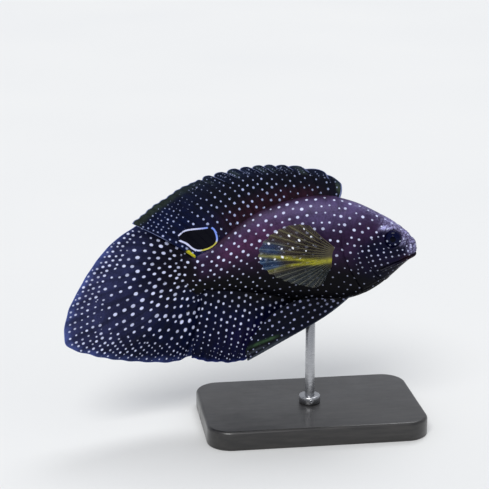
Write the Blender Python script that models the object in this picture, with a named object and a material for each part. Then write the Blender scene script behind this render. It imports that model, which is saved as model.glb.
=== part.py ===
"""Marine betta as a life-size display model on a stand.

The fish is described flat first: s runs back from the tip of the snout, y to the fish's left and z up.
Then its backbone is bent: the head and the tail turn towards the fish's right and the tail hangs down.
Every size is in millimetres, and a mesh point becomes metres when it is made.
The origin is the middle of the underside of the stand's base, with the fish heading along +X.
"""

import math

import bmesh
import bpy
import numpy as np

MM = 0.001
GAP = 0.3
CUT_PAST = 5.0

# Backbone: the heading turns by yaw and climbs by pitch from the head to the tail
YAW_HEAD, YAW_TAIL = math.radians(-17), math.radians(16)
YAW_START, YAW_END = 0.0, 140.0
PITCH_HEAD, PITCH_TAIL = math.radians(2), math.radians(28)
PITCH_START, PITCH_END = 40.0, 125.0
BACKBONE_FRONT, BACKBONE_END, BACKBONE_STEP = -8.0, 180.0, 0.25
SNOUT_HEIGHT = 77.0

# Body: station, height of the back, depth of the belly and half width
STATIONS = (
    (-0.7, 0.4, -1.3, 0.9),
    (0.6, 2.7, -2.6, 2.3),
    (2.5, 5.2, -4.1, 3.4),
    (6.0, 8.6, -7.1, 4.7),
    (10.0, 11.5, -10.9, 5.7),
    (16.0, 14.9, -15.7, 6.9),
    (23.0, 18.4, -19.7, 7.9),
    (30.0, 20.8, -21.7, 8.5),
    (38.0, 22.0, -22.3, 8.5),
    (47.0, 21.3, -21.7, 7.8),
    (57.0, 18.9, -19.9, 6.4),
    (67.0, 14.9, -17.2, 4.8),
    (77.0, 9.4, -14.2, 3.3),
    (85.0, 5.7, -11.6, 2.2),
    (91.0, 5.3, -10.0, 1.5),
)
FLESH_SQUARENESS = 2.2
SEGMENTS = 36
HEAD_RINGS, TRUNK_RINGS, STALK_RINGS = 19, 10, 9
SNOUT_CROWDING = 0.4
SHARP_ANGLE = math.radians(40)

# Head: the gill line where it meets the trunk, the mouth, the eyes and the nostrils
GILL_STATION, GILL_RISE, GILL_DROP, GILL_TURN = 30.5, 3.0, 8.5, 0.3
GILL_COVER_STEP, GILL_COVER_LENGTH = 0.5, 7.0
TRUNK_END = 62.0
MOUTH_FRONT, MOUTH_CORNER = (-3.0, -0.1), (17.0, -8.4)
JAW_REAR = (15.5, -26.0)
JAW_CUT_WIDTH = 15.0
LIP_RADIUS, LIP_OFFSET, LIP_SINK, LIP_FRONT_SINK = 0.75, 0.85, 0.25, 0.75
LIP_LENGTH, LIP_TAPER, LIP_STEPS, LIP_SIDES, LIP_CROWDING = 0.96, 0.55, 9, 8, 1.3
EYE_STATION, EYE_HEIGHT, EYE_SIDE = 9.4, 5.2, 4.2
EYE_RADIUS, EYE_DEPTH = 3.4, 1.9
EYE_SIDES, EYE_ROWS = 18, 10
NOSTRILS = ((3.4, 5.2, 0.5), (4.9, 6.9, 0.45))
NOSTRIL_DEPTH, NOSTRIL_SIDES, NOSTRIL_ROWS = 0.7, 8, 4

# Fins: membranes and rays
MEMBRANE, RAY, TIP_TAPER = 0.3, 0.5, 0.25
ROOT_FLARE, ROOT_SHARE, FLARE_WIDTH = 0.45, 0.12, 7.0
RAY_HALF_WIDTH, RAY_SHARE = 0.45, 0.3

DORSAL_BASE = (31.5, 90.0)
DORSAL_TIPS = (
    (30.4, 27.2),
    (36.0, 31.8),
    (45.0, 34.5),
    (62.0, 36.4),
    (79.0, 36.6),
    (93.0, 34.4),
    (107.0, 31.0),
)
SPINES, SPINES_END, SPINE_NOTCH = 11, 0.53, 0.15
FLAG_FULL, FLAG_FALL, FLAG_END, LAST_FLAG = 0.35, 0.55, 0.97, 0.94
DORSAL_CUT, SOFT_START, DORSAL_RAYS = 0.565, 0.6, 9

ANAL_BASE = (49.0, 89.0)
ANAL_TIPS = (
    (54.5, -28.0),
    (64.5, -36.3),
    (76.0, -43.0),
    (86.0, -44.6),
    (96.0, -42.4),
    (105.0, -38.6),
    (112.5, -34.2),
)
ANAL_RAYS = 12
LOBE_START, LOBE_LENGTH, LOBE_SHIFT = 87.0, 7.0, -1.3
MEDIAN_BOW, MEDIAN_WAVE, WAVE_LENGTH = 0.09, 0.8, 46.0

CAUDAL_STATION, CAUDAL_RAYS = 91.0 + GAP, 17
CAUDAL_TIPS = (
    (108.6, -34.4),
    (119.2, -32.1),
    (129.5, -25.2),
    (138.5, -17.2),
    (146.6, -8.2),
    (152.8, 1.6),
    (146.2, 12.2),
    (136.8, 18.7),
    (125.9, 23.6),
    (114.8, 26.9),
    (104.4, 27.5),
)
CAUDAL_SPREAD, CAUDAL_PULL, CAUDAL_ROOT = math.radians(74), 0.45, 0.9
CAUDAL_SHIFT, CAUDAL_SHIFT_LENGTH, CAUDAL_CUP = 1.0, 4.0, 3.0

PELVIC_ROOT = (27.5, 36.5)
PELVIC_SIDE, PELVIC_FLARE = 3.3, 2.4
PELVIC_TIP = (82.0, -43.2)
PELVIC_BOW, PELVIC_REAR_BOW, PELVIC_PULL = 4.6, 5.5, 0.42
PELVIC_RAYS, PELVIC_SLANT, PELVIC_RISE = 5, 8.0, 3.2

PECTORAL_STATION, PECTORAL_HEIGHTS = (33.6, 35.2), (2.6, -5.4)
PECTORAL_RAYS, PECTORAL_CUP = 19, 0.07
PECTORAL_AIMS = (44, 27, 14, 4, -3, -12, -40)
PECTORAL_OUTWARD = (25, 27, 27, 29, 42, 56, 62)
PECTORAL_LENGTHS = (15.5, 29.0, 37.5, 36.0, 29.8, 20.7, 7.0)

# Stand: a bevelled base, a rod and the collar at the rod's foot
BASE_LENGTH, BASE_WIDTH, BASE_THICKNESS, BASE_BEVEL = 92.0, 58.0, 8.0, 1.4
BASE_CORNER, CORNER_STEPS = 10.0, 6
ROD_STATION, ROD_RADIUS, ROD_DEPTH = 44.0, 2.0, 4.0
COLLAR_RADIUS, COLLAR_HEIGHT = 4.5, 3.0
ROUND_SIDES = 24

COLOURS = {
    "skin": ((0.075, 0.045, 0.085, 1.0), 0.45, 0.0),
    "fin": ((0.028, 0.03, 0.075, 1.0), 0.45, 0.0),
    "pectoral": ((0.3, 0.28, 0.07, 1.0), 0.45, 0.0),
    "eye": ((0.008, 0.01, 0.03, 1.0), 0.12, 0.0),
    "base": ((0.03, 0.028, 0.027, 1.0), 0.35, 0.0),
    "steel": ((0.55, 0.55, 0.56, 1.0), 0.3, 1.0),
}


def clear_scene():
    """Removes every object of the scene that Blender opened with."""
    for obj in list(bpy.data.objects):
        bpy.data.objects.remove(obj)


def material(name):
    """The Principled material of that name, made on its first use."""
    found = bpy.data.materials.get(name)
    if found:
        return found
    colour, roughness, metallic = COLOURS[name]
    made = bpy.data.materials.new(name)
    made.use_nodes = True
    shader = made.node_tree.nodes["Principled BSDF"]
    shader.inputs["Base Color"].default_value = colour
    shader.inputs["Roughness"].default_value = roughness
    shader.inputs["Metallic"].default_value = metallic
    return made


def smoothstep(x):
    """0 below 0, 1 above 1 and a smooth rise between."""
    x = np.clip(x, 0.0, 1.0)
    return x * x * (3.0 - 2.0 * x)


def through(points, x):
    """Height at x of a smooth curve through (x, height) points, with the slopes of their neighbours."""
    xs, ys = np.array(points, float).T
    slopes = np.gradient(ys, xs)
    x = np.clip(x, xs[0], xs[-1])
    k = np.clip(np.searchsorted(xs, x) - 1, 0, len(xs) - 2)
    width = xs[k + 1] - xs[k]
    t = (x - xs[k]) / width
    rise = (3 - 2 * t) * t * t
    start = ((t - 2) * t + 1) * t * width * slopes[k]
    end = (t - 1) * t * t * width * slopes[k + 1]
    return ys[k] * (1 - rise) + ys[k + 1] * rise + start + end


def backbone():
    """Stations, places and the forward, left and up directions of the bent backbone."""
    s = np.arange(BACKBONE_FRONT, BACKBONE_END, BACKBONE_STEP)
    yaw = YAW_HEAD + (YAW_TAIL - YAW_HEAD) * smoothstep((s - YAW_START) / (YAW_END - YAW_START))
    pitch = PITCH_HEAD + (PITCH_TAIL - PITCH_HEAD) * smoothstep((s - PITCH_START) / (PITCH_END - PITCH_START))
    forward = np.stack([np.cos(yaw) * np.cos(pitch), np.sin(yaw) * np.cos(pitch), np.sin(pitch)], 1)
    left = np.stack([-np.sin(yaw), np.cos(yaw), 0 * yaw], 1)
    up = np.cross(forward, left)
    place = np.zeros_like(forward)
    place[1:] = -np.cumsum((forward[1:] + forward[:-1]) / 2 * BACKBONE_STEP, axis=0)
    place -= place[int(round(-BACKBONE_FRONT / BACKBONE_STEP))]
    return s, place, forward, left, up


SPINE_LINE = backbone()


def along_backbone(s, vectors):
    """Values of a backbone field at stations s."""
    return np.stack([np.interp(s, SPINE_LINE[0], vectors[:, k]) for k in range(3)], 1)


def from_snout(points):
    """Flat points (s, y, z) carried on to the bent backbone, in millimetres from the tip of the snout."""
    points = np.asarray(points, float).reshape(-1, 3)
    _, place, _, left, up = SPINE_LINE
    s = points[:, 0]
    moved = along_backbone(s, place) + along_backbone(s, left) * points[:, 1:2]
    return moved + along_backbone(s, up) * points[:, 2:3]


def back(s):
    """Height of the back."""
    return through([(row[0], row[1]) for row in STATIONS], s)


def belly(s):
    """Height of the belly, below zero."""
    return through([(row[0], row[2]) for row in STATIONS], s)


def half_width(s):
    """Half width of the body."""
    return through([(row[0], row[3]) for row in STATIONS], s)


def flank(s, z):
    """Half width of the body at height z."""
    top, bottom = back(s), belly(s)
    share = np.abs((2 * z - top - bottom) / (top - bottom)).clip(0, 1)
    return half_width(s) * (1 - share**FLESH_SQUARENESS) ** (1 / FLESH_SQUARENESS)


def surface_height(s, y, side):
    """Height of the body's upper side, 1, or its under side, -1, at a distance y from the middle."""
    top, bottom = back(s), belly(s)
    share = (1 - np.abs(y / half_width(s)).clip(0, 1) ** FLESH_SQUARENESS) ** (1 / FLESH_SQUARENESS)
    return (top + bottom) / 2 + side * (top - bottom) / 2 * share


ROD_PLACE = from_snout([(ROD_STATION, 0, belly(ROD_STATION))])[0]
STAND_SHIFT = np.array([-ROD_PLACE[0], -ROD_PLACE[1], SNOUT_HEIGHT])
BELLY_HEIGHT = ROD_PLACE[2] + SNOUT_HEIGHT


def bent(points):
    """Flat points carried on to the bent backbone and stood over the base, in millimetres."""
    return from_snout(points) + STAND_SHIFT


def solid(name, points, faces, finish, smooth=True):
    """A closed mesh object from points in millimetres, with its faces turned outwards."""
    mesh = bpy.data.meshes.new(name)
    mesh.from_pydata((np.asarray(points) * MM).tolist(), [], faces)
    work = bmesh.new()
    work.from_mesh(mesh)
    bmesh.ops.recalc_face_normals(work, faces=work.faces)
    work.to_mesh(mesh)
    work.free()
    if smooth:
        mesh.shade_smooth()
        mesh.set_sharp_from_angle(angle=SHARP_ANGLE)
    mesh.materials.append(material(finish))
    obj = bpy.data.objects.new(name, mesh)
    bpy.context.scene.collection.objects.link(obj)
    return obj


def cutter(name, points, faces):
    """A hidden closed mesh that only cuts."""
    obj = solid(name, points, faces, "skin", smooth=False)
    obj.hide_render = True
    obj.display_type = "WIRE"
    return obj


def cut(obj, other, operation="DIFFERENCE", solver="EXACT"):
    """Cuts obj by another solid, joins it, or keeps what the two share."""
    modifier = obj.modifiers.new(other.name, "BOOLEAN")
    modifier.operation = operation
    modifier.solver = solver
    modifier.object = other


def shells(work):
    """The connected sets of faces of a bmesh."""
    left, found = set(work.faces), []
    while left:
        stack, shell = [left.pop()], []
        while stack:
            face = stack.pop()
            shell.append(face)
            near = {other for edge in face.edges for other in edge.link_faces} & left
            left -= near
            stack += near
        found.append(shell)
    return found


def volume(shell):
    """Six times the volume inside a set of faces."""
    total = 0.0
    for face in shell:
        first = face.verts[0].co
        for a, b in zip(face.verts[1:], face.verts[2:]):
            total += first.dot(a.co.cross(b.co))
    return total


def settle(obj):
    """Applies the object's modifiers and keeps the largest closed surface of the result."""
    evaluated = obj.evaluated_get(bpy.context.evaluated_depsgraph_get())
    mesh = bpy.data.meshes.new_from_object(evaluated)
    obj.modifiers.clear()
    obj.data = mesh
    work = bmesh.new()
    work.from_mesh(mesh)
    found = sorted(shells(work), key=volume)
    spare = [face for shell in found[:-1] for face in shell]
    bmesh.ops.delete(work, geom=spare, context="FACES")
    work.to_mesh(mesh)
    work.free()


def gill_line(angle):
    """Station of the head's rear edge, which bulges back over the gills and runs forward at the throat."""
    cosine = np.cos(angle)
    below = smoothstep((GILL_TURN - cosine) / (1 + GILL_TURN))
    return GILL_STATION - GILL_RISE * np.maximum(cosine, 0) ** 2 - GILL_DROP * below


def flesh_ring(s, angle):
    """Points round the body: s and the angle from the back, positive to the fish's right."""
    top, bottom = back(s), belly(s)
    cosine, sine = np.cos(angle), np.sin(angle)
    power = 2 / FLESH_SQUARENESS
    z = (top + bottom) / 2 + (top - bottom) / 2 * np.sign(cosine) * np.abs(cosine) ** power
    y = -half_width(s) * np.sign(sine) * np.abs(sine) ** power
    return np.stack([s, y, z], 1)


def gill_cover_rise(ring, angle, rear):
    """How far the gill cover stands proud near its rear edge."""
    near = smoothstep(1 - (rear - ring[:, 0]) / GILL_COVER_LENGTH)
    return GILL_COVER_STEP * near * np.abs(np.sin(angle)) ** 2


def loft(name, front, rear, rings, finish, details=False):
    """A closed length of the body between two edge lines, each a function of the angle round it."""
    angle = np.linspace(0, 2 * math.pi, SEGMENTS, endpoint=False)
    shares = np.linspace(0, 1, rings)
    if details:
        shares = (1 - SNOUT_CROWDING) * shares + SNOUT_CROWDING * shares**2
    points = []
    for share in shares:
        s = front(angle) * (1 - share) + rear(angle) * share
        ring = flesh_ring(s, angle)
        if details:
            proud = gill_cover_rise(ring, angle, rear(angle))
            ring[:, 1] -= np.sign(np.sin(angle)) * proud * np.minimum(np.abs(ring[:, 1]), 1)
        points.append(ring)
    centres = [(end(np.array([math.pi / 2]))[0], 0.0, 0.0) for end in (front, rear)]
    flat = np.concatenate([*points, centres])
    faces = []
    for i in range(rings - 1):
        for k in range(SEGMENTS):
            a, b = i * SEGMENTS + k, i * SEGMENTS + (k + 1) % SEGMENTS
            faces.append((a, b, b + SEGMENTS, a + SEGMENTS))
    last = (rings - 1) * SEGMENTS
    for k in range(SEGMENTS):
        after = (k + 1) % SEGMENTS
        faces.append((k, len(flat) - 2, after))
        faces.append((last + k, last + after, len(flat) - 1))
    return solid(name, bent(flat), faces, finish)


def prism(name, outline, reach):
    """A hidden cutter: an outline in s and z, pushed out to both sides of the fish."""
    n = len(outline)
    points = [(s, y, z) for y in (-reach, reach) for s, z in outline]
    faces = [tuple(range(n)), tuple(range(n, 2 * n))]
    faces += [(k, (k + 1) % n, (k + 1) % n + n, k + n) for k in range(n)]
    return cutter(name, bent(points), faces)


def ball(centre, radii, around, rows):
    """Points and faces of a ball in flat coordinates, with its poles on the y axis."""
    points = [(centre[0], centre[1] - radii[1], centre[2])]
    for i in range(1, rows):
        tilt = math.pi * i / rows
        for k in range(around):
            turn = 2 * math.pi * k / around
            offset = (math.sin(tilt) * math.cos(turn), -math.cos(tilt), math.sin(tilt) * math.sin(turn))
            points.append([c + r * o for c, r, o in zip(centre, radii, offset)])
    points.append((centre[0], centre[1] + radii[1], centre[2]))
    faces = []
    for k in range(around):
        after = (k + 1) % around
        faces.append((0, 1 + k, 1 + after))
        for i in range(rows - 2):
            a, b = 1 + i * around + k, 1 + i * around + after
            faces.append((a, b, b + around, a + around))
        end = 1 + (rows - 2) * around
        faces.append((len(points) - 1, end + after, end + k))
    return points, faces


def eye(side, name, grow=0.0):
    """Points and faces of an eye, or of its socket when it is grown by the gap."""
    centre = (EYE_STATION, -side * EYE_SIDE, EYE_HEIGHT)
    radii = (EYE_RADIUS + grow, EYE_DEPTH + grow, EYE_RADIUS + grow)
    points, faces = ball(centre, radii, EYE_SIDES, EYE_ROWS)
    if grow:
        return cutter(name, bent(points), faces)
    return solid(name, bent(points), faces, "eye")


def lip(name, offset):
    """A round bead along the mouth from corner to corner, offset above or below the mouth line."""
    start, corner = np.array(MOUTH_FRONT), np.array(MOUTH_CORNER)
    along = (corner - start) / np.linalg.norm(corner - start)
    front = start + along * (STATIONS[0][0] - start[0]) / along[0]
    shares = np.linspace(0, 1, LIP_STEPS + 1)[1:] ** LIP_CROWDING
    lines = []
    for side in (1, -1):
        for share in shares[::-1] if side == 1 else shares:
            s, z = front + (corner - front) * share * LIP_LENGTH + offset * np.array([-along[1], along[0]])
            lines.append((s, -side * (float(flank(s, z)) - LIP_SINK), z))
        if side == 1:
            s, z = front + offset * np.array([-along[1], along[0]])
            lines.append((s + LIP_FRONT_SINK, 0.0, z))
    path = bent(lines)
    middle = len(path) // 2
    points, faces = [], []
    for i, point in enumerate(path):
        ahead = path[min(i + 1, len(path) - 1)] - path[max(i - 1, 0)]
        ahead = ahead / np.linalg.norm(ahead)
        over = np.cross(ahead, np.cross((0, 0, 1), ahead))
        over = over / np.linalg.norm(over)
        across = np.cross(ahead, over)
        size = LIP_RADIUS * (1 - LIP_TAPER * (abs(i - middle) / middle) ** 3)
        for k in range(LIP_SIDES):
            turn = 2 * math.pi * k / LIP_SIDES
            points.append(point + size * (math.cos(turn) * over + math.sin(turn) * across))
    for i in range(len(path) - 1):
        for k in range(LIP_SIDES):
            a, b = i * LIP_SIDES + k, i * LIP_SIDES + (k + 1) % LIP_SIDES
            faces.append((a, b, b + LIP_SIDES, a + LIP_SIDES))
    faces.append(tuple(range(LIP_SIDES)))
    faces.append(tuple(range(len(points) - LIP_SIDES, len(points))))
    return cutter(name, points, faces)


def make_head():
    """The head with its sockets and nostrils, the lower jaw parted along the mouth, and the eyes."""
    front = STATIONS[0][0]
    head = loft("head", lambda a: front + 0 * a, gill_line, HEAD_RINGS, "skin", details=True)
    jaw = loft("lower_jaw", lambda a: front + 0 * a, gill_line, HEAD_RINGS, "skin", details=True)
    slope = (MOUTH_CORNER[1] - MOUTH_FRONT[1]) / (MOUTH_CORNER[0] - MOUTH_FRONT[0])
    lift = GAP * math.hypot(1, slope)
    outline = (MOUTH_FRONT, MOUTH_CORNER, JAW_REAR, (MOUTH_FRONT[0], JAW_REAR[1]))
    clear = (
        (MOUTH_FRONT[0] - CUT_PAST, MOUTH_FRONT[1] + lift - CUT_PAST * slope),
        (MOUTH_CORNER[0] + GAP, MOUTH_CORNER[1] + lift + GAP * slope),
        (JAW_REAR[0] + GAP, JAW_REAR[1]),
        (MOUTH_FRONT[0] - CUT_PAST, JAW_REAR[1]),
    )
    cut(jaw, prism("jaw_shape", outline, JAW_CUT_WIDTH), "INTERSECT")
    cut(jaw, lip("lower_lip", -LIP_OFFSET), "UNION", "MANIFOLD")
    cut(head, prism("jaw_room", clear, JAW_CUT_WIDTH))
    cut(head, lip("upper_lip", LIP_OFFSET), "UNION", "MANIFOLD")
    settle(jaw)
    for side, word in ((1, "right"), (-1, "left")):
        eye(side, f"eye_{word}")
        cut(head, eye(side, f"socket_{word}", GAP))
        for number, (s, z, radius) in enumerate(NOSTRILS, 1):
            y = -side * float(flank(s, z))
            points, faces = ball((s, y, z), (radius, NOSTRIL_DEPTH, radius), NOSTRIL_SIDES, NOSTRIL_ROWS)
            cut(head, cutter(f"nostril_{word}_{number}", bent(points), faces))
    settle(head)


def make_trunk_and_stalk():
    """The trunk behind the gills, with the rod's hole in its belly, and the tail stalk."""
    trunk = loft("trunk", lambda a: gill_line(a) + GAP, lambda a: TRUNK_END + 0 * a, TRUNK_RINGS, "skin")
    end = STATIONS[-1][0]
    loft("tail_stalk", lambda a: TRUNK_END + GAP + 0 * a, lambda a: end + 0 * a, STALK_RINGS, "skin")
    hole = tube_points(ROD_RADIUS + GAP, BELLY_HEIGHT - CUT_PAST, BELLY_HEIGHT + ROD_DEPTH + GAP)
    cut(trunk, cutter("rod_hole", *hole))
    settle(trunk)


def tube_points(radius, low, high):
    """Points and faces of an upright round bar on the origin's axis."""
    points = []
    for z in (low, high):
        for k in range(ROUND_SIDES):
            turn = 2 * math.pi * k / ROUND_SIDES
            points.append((radius * math.cos(turn), radius * math.sin(turn), z))
    faces = [tuple(range(ROUND_SIDES)), tuple(range(ROUND_SIDES, 2 * ROUND_SIDES))]
    for k in range(ROUND_SIDES):
        after = (k + 1) % ROUND_SIDES
        faces.append((k, after, after + ROUND_SIDES, k + ROUND_SIDES))
    return points, faces


def bezier(p0, p1, p2, t):
    """Point at t of the quadratic curve through p0, pulled to p1, to p2."""
    t = np.asarray(t, float)[:, None]
    return p0 * (1 - t) ** 2 + p1 * 2 * t * (1 - t) + p2 * t * t


def evenly(values, u):
    """Value at share u of the way through evenly spaced values."""
    return float(through(list(zip(np.linspace(0, 1, len(values)), values)), u))


def tip_at(tips, u):
    """Point at share u of the way along a fin's outline."""
    return np.array([evenly([tip[k] for tip in tips], u) for k in (0, 1)])


def median_ray(base, tips, edge, direction, reach):
    """A function of (u, t): flat points of the rays of a dorsal or an anal fin, which lean and bow back."""

    def ray(u, t):
        station = base[0] + (base[1] - base[0]) * u
        root = np.array([station, float(edge(station)) + direction * GAP])
        tip = tip_at(tips, u)
        along = tip - root
        bow = np.array([-abs(along[1]), direction * along[0]]) * MEDIAN_BOW * (1 - u**4)
        flat = bezier(root, root + along / 2 + 2 * bow, tip, np.asarray(t) * reach(u))
        shift = LOBE_SHIFT * smoothstep((flat[:, 0] - LOBE_START) / LOBE_LENGTH)
        wave = MEDIAN_WAVE * np.sin(2 * math.pi * flat[:, 0] / WAVE_LENGTH) * np.asarray(t) ** 2
        return np.stack([flat[:, 0], shift + wave, flat[:, 1]], 1)

    return ray


def flag(u):
    """Share of the full height in the spiny dorsal, whose membranes fall to a notch before each spine."""
    if u > SPINES_END:
        return LAST_FLAG
    cell = u * (SPINES - 1) / SPINES_END % 1.0
    if cell > FLAG_END:
        return 1.0
    return 1 - SPINE_NOTCH * float(smoothstep((cell - FLAG_FULL) / FLAG_FALL))


def full(u):
    """Share of the full height for a fin with no notches."""
    return 1.0


def caudal_ray(u, t):
    """Flat points of a tail ray: u runs from -1 at the bottom to 1 at the top."""
    top, bottom = STATIONS[-1][1:3]
    root = np.array([CAUDAL_STATION, (top + bottom) / 2 + u * (top - bottom) / 2 * CAUDAL_ROOT])
    tip = tip_at(CAUDAL_TIPS, (u + 1) / 2)
    start = u * CAUDAL_SPREAD
    pull = root + CAUDAL_PULL * np.linalg.norm(tip - root) * np.array([math.cos(start), math.sin(start)])
    flat = bezier(root, pull, tip, t)
    shift = CAUDAL_SHIFT * smoothstep((flat[:, 0] - CAUDAL_STATION) / CAUDAL_SHIFT_LENGTH)
    cup = CAUDAL_CUP * abs(u) ** 2 * np.asarray(t) ** 2
    return np.stack([flat[:, 0], shift + cup, flat[:, 1]], 1)


def pelvic_ray(side):
    """A function of (u, t): flat points of a pelvic fin from its leading edge, u = 0, to its rear, u = 1."""

    def ray(u, t):
        station = PELVIC_ROOT[0] + (PELVIC_ROOT[1] - PELVIC_ROOT[0]) * u
        root = np.array([station, float(surface_height(station, PELVIC_SIDE, -1)) - GAP])
        tip = np.array(PELVIC_TIP) + np.array([-PELVIC_SLANT * u, PELVIC_RISE * u])
        along = tip - root
        down = np.array([along[1], -along[0]]) / np.linalg.norm(along)
        bow = PELVIC_BOW * (1 - u) - PELVIC_REAR_BOW * u
        flat = bezier(root, root + PELVIC_PULL * along + 2 * bow * down, tip, t)
        y = -side * (PELVIC_SIDE + PELVIC_FLARE * np.sin(np.asarray(t) * math.pi / 2))
        return np.stack([flat[:, 0], y, flat[:, 1]], 1)

    return ray


def pectoral_ray(side):
    """A function of (u, t): flat points of a pectoral fin that stands off the flank, u = 0 at its top ray."""

    def ray(u, t):
        s = PECTORAL_STATION[0] + (PECTORAL_STATION[1] - PECTORAL_STATION[0]) * u
        z = PECTORAL_HEIGHTS[0] + (PECTORAL_HEIGHTS[1] - PECTORAL_HEIGHTS[0]) * u
        y = float(flank(s, z)) + GAP
        aim, outward, length = (evenly(row, u) for row in (PECTORAL_AIMS, PECTORAL_OUTWARD, PECTORAL_LENGTHS))
        aim, outward = math.radians(aim), math.radians(outward)
        run = length * np.asarray(t, float)
        level = run * math.cos(aim)
        out = level * math.sin(outward) + PECTORAL_CUP * length * np.sin(math.pi * np.asarray(t))
        return np.stack([s + level * math.cos(outward), -side * (y + out), z + run * math.sin(aim)], 1)

    return ray


def column(ray, u, spacing, offset, t):
    """A fin column set off from the ray at u by at most offset to one side, and less where the rays crowd."""
    step = spacing / 50
    width = np.linalg.norm(ray(u + step, t) - ray(u - step, t), axis=1) / (2 * step)
    share = np.sign(offset) * np.minimum(abs(offset) / width, RAY_SHARE * spacing)
    return np.array([ray(u + d, [at])[0] for d, at in zip(share, t)])


def rayed_columns(ray, ray_places, spacing, rows, between=(), low=None, high=None):
    """The columns of a fin and their ridges: three for each ray, and those asked for between two rays."""
    t = np.linspace(0, 1, rows)
    found = []
    if low is not None:
        found.append((column(ray, low, spacing, GAP / 2, t), 0.0))
    for number, u in enumerate(ray_places):
        for offset in (-RAY_HALF_WIDTH, 0.0, RAY_HALF_WIDTH):
            ridge = 0.0 if offset else RAY - MEMBRANE
            first, last = number == 0, number == len(ray_places) - 1
            if (first and offset < 0 and low is None) or (last and offset > 0 and high is None):
                continue
            found.append((column(ray, u, spacing, offset, t) if offset else ray(u, t), ridge))
        if number < len(ray_places) - 1:
            found += [(ray(u + share * spacing, t), 0.0) for share in between]
    if high is not None:
        found.append((column(ray, high, spacing, -GAP / 2, t), 0.0))
    return found, t


def seat_below(point, offset):
    """Sets a root point of a fin under the belly."""
    s, y = point[0], point[1] + offset
    return s, y, float(surface_height(s, y, -1)) - GAP


def seat_beside(side):
    """A function that sets a root point of a pectoral fin beside the flank."""

    def seat(point, offset):
        s = point[0] + side * offset
        return s, -side * (float(flank(s, point[2])) + GAP), point[2]

    return seat


def across(columns):
    """The direction across a curved fin at each point of its columns, towards the fish's left."""
    grid = np.array([places for places, ridge in columns])
    normals = np.cross(np.gradient(grid, axis=0), np.gradient(grid, axis=1))
    return normals * np.sign(normals[:, :, 1:2]) / np.linalg.norm(normals, axis=2, keepdims=True)


def fin(name, columns, t, finish, seat=None, curved=False):
    """A fin as one closed solid, whose two faces stand off the columns by the membrane and the rays' ridges.

    seat(point, offset) gives the place of a root point, offset across the fin, on the body it grows from.
    """
    rows, count = len(t), len(columns)
    flare = ROOT_FLARE * smoothstep(1 - t / ROOT_SHARE)
    taper = 1 - TIP_TAPER * t
    normals = across(columns) if curved else [np.array([0.0, 1.0, 0.0])] * count
    points = []
    for sign in (-1, 1):
        for normal, (places, ridge) in zip(normals, columns):
            stout = min(1, float(half_width(places[0, 0])) / FLARE_WIDTH)
            thickness = (MEMBRANE + ridge * taper + flare * stout)[:, None]
            moved = places + sign * thickness * normal
            if seat:
                moved[0] = seat(places[0], sign * thickness[0, 0])
            points.append(moved)
    flat = np.concatenate(points)
    faces = []
    for side in (0, 1):
        for i in range(count - 1):
            for k in range(rows - 1):
                a = (side * count + i) * rows + k
                b = a + rows
                faces += [(a, b, b + 1), (a, b + 1, a + 1)]
    other = count * rows
    rim = [i * rows for i in range(count)]
    rim += [(count - 1) * rows + k for k in range(1, rows)]
    rim += [i * rows + rows - 1 for i in range(count - 2, -1, -1)]
    rim += list(range(rows - 2, 0, -1))
    for a, b in zip(rim, rim[1:] + rim[:1]):
        faces += [(a, b, b + other), (a, b + other, a + other)]
    return solid(name, bent(flat), faces, finish)


def make_median_fins():
    """The spiny and the soft dorsal fin and the anal fin."""
    spiny = median_ray(DORSAL_BASE, DORSAL_TIPS, back, 1, flag)
    spacing = SPINES_END / (SPINES - 1)
    places = [k * spacing for k in range(SPINES)]
    columns, t = rayed_columns(spiny, places, spacing, 5, between=(0.5, 0.88), high=DORSAL_CUT)
    fin("dorsal_spiny", columns, t, "fin")

    soft = median_ray(DORSAL_BASE, DORSAL_TIPS, back, 1, full)
    spacing = (1 - SOFT_START) / (DORSAL_RAYS - 1)
    places = [SOFT_START + k * spacing for k in range(DORSAL_RAYS)]
    columns, t = rayed_columns(soft, places, spacing, 7, low=DORSAL_CUT)
    fin("dorsal_soft", columns, t, "fin")

    anal = median_ray(ANAL_BASE, ANAL_TIPS, belly, -1, full)
    spacing = 1 / (ANAL_RAYS - 1)
    columns, t = rayed_columns(anal, [k * spacing for k in range(ANAL_RAYS)], spacing, 7)
    fin("anal_fin", columns, t, "fin")


def make_caudal_fin():
    """The tail fin, whose rays spread from the stalk and turn in towards the tip."""
    spacing = 2 / (CAUDAL_RAYS - 1)
    places = [-1 + k * spacing for k in range(CAUDAL_RAYS)]
    columns, t = rayed_columns(caudal_ray, places, spacing, 8)
    fin("caudal_fin", columns, t, "fin")


def make_paired_fins():
    """The pelvic and the pectoral fins of both sides."""
    for side, word in ((1, "right"), (-1, "left")):
        spacing = 1 / (PELVIC_RAYS - 1)
        places = [k * spacing for k in range(PELVIC_RAYS)]
        columns, t = rayed_columns(pelvic_ray(side), places, spacing, 9)
        fin(f"pelvic_{word}", columns, t, "fin", seat_below)

        spacing = 1 / (PECTORAL_RAYS - 1)
        places = [k * spacing for k in range(PECTORAL_RAYS)]
        columns, t = rayed_columns(pectoral_ray(side), places, spacing, 7)
        fin(f"pectoral_{word}", columns, t, "pectoral", seat_beside(side), curved=True)


def rounded_outline(length, width, corner):
    """Points round a rectangle with round corners."""
    points = []
    for number, (sx, sy) in enumerate(((1, 1), (-1, 1), (-1, -1), (1, -1))):
        for k in range(CORNER_STEPS + 1):
            turn = math.pi / 2 * (number + k / CORNER_STEPS)
            x = sx * (length / 2 - corner) + corner * math.cos(turn)
            y = sy * (width / 2 - corner) + corner * math.sin(turn)
            points.append((x, y))
    return points


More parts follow.
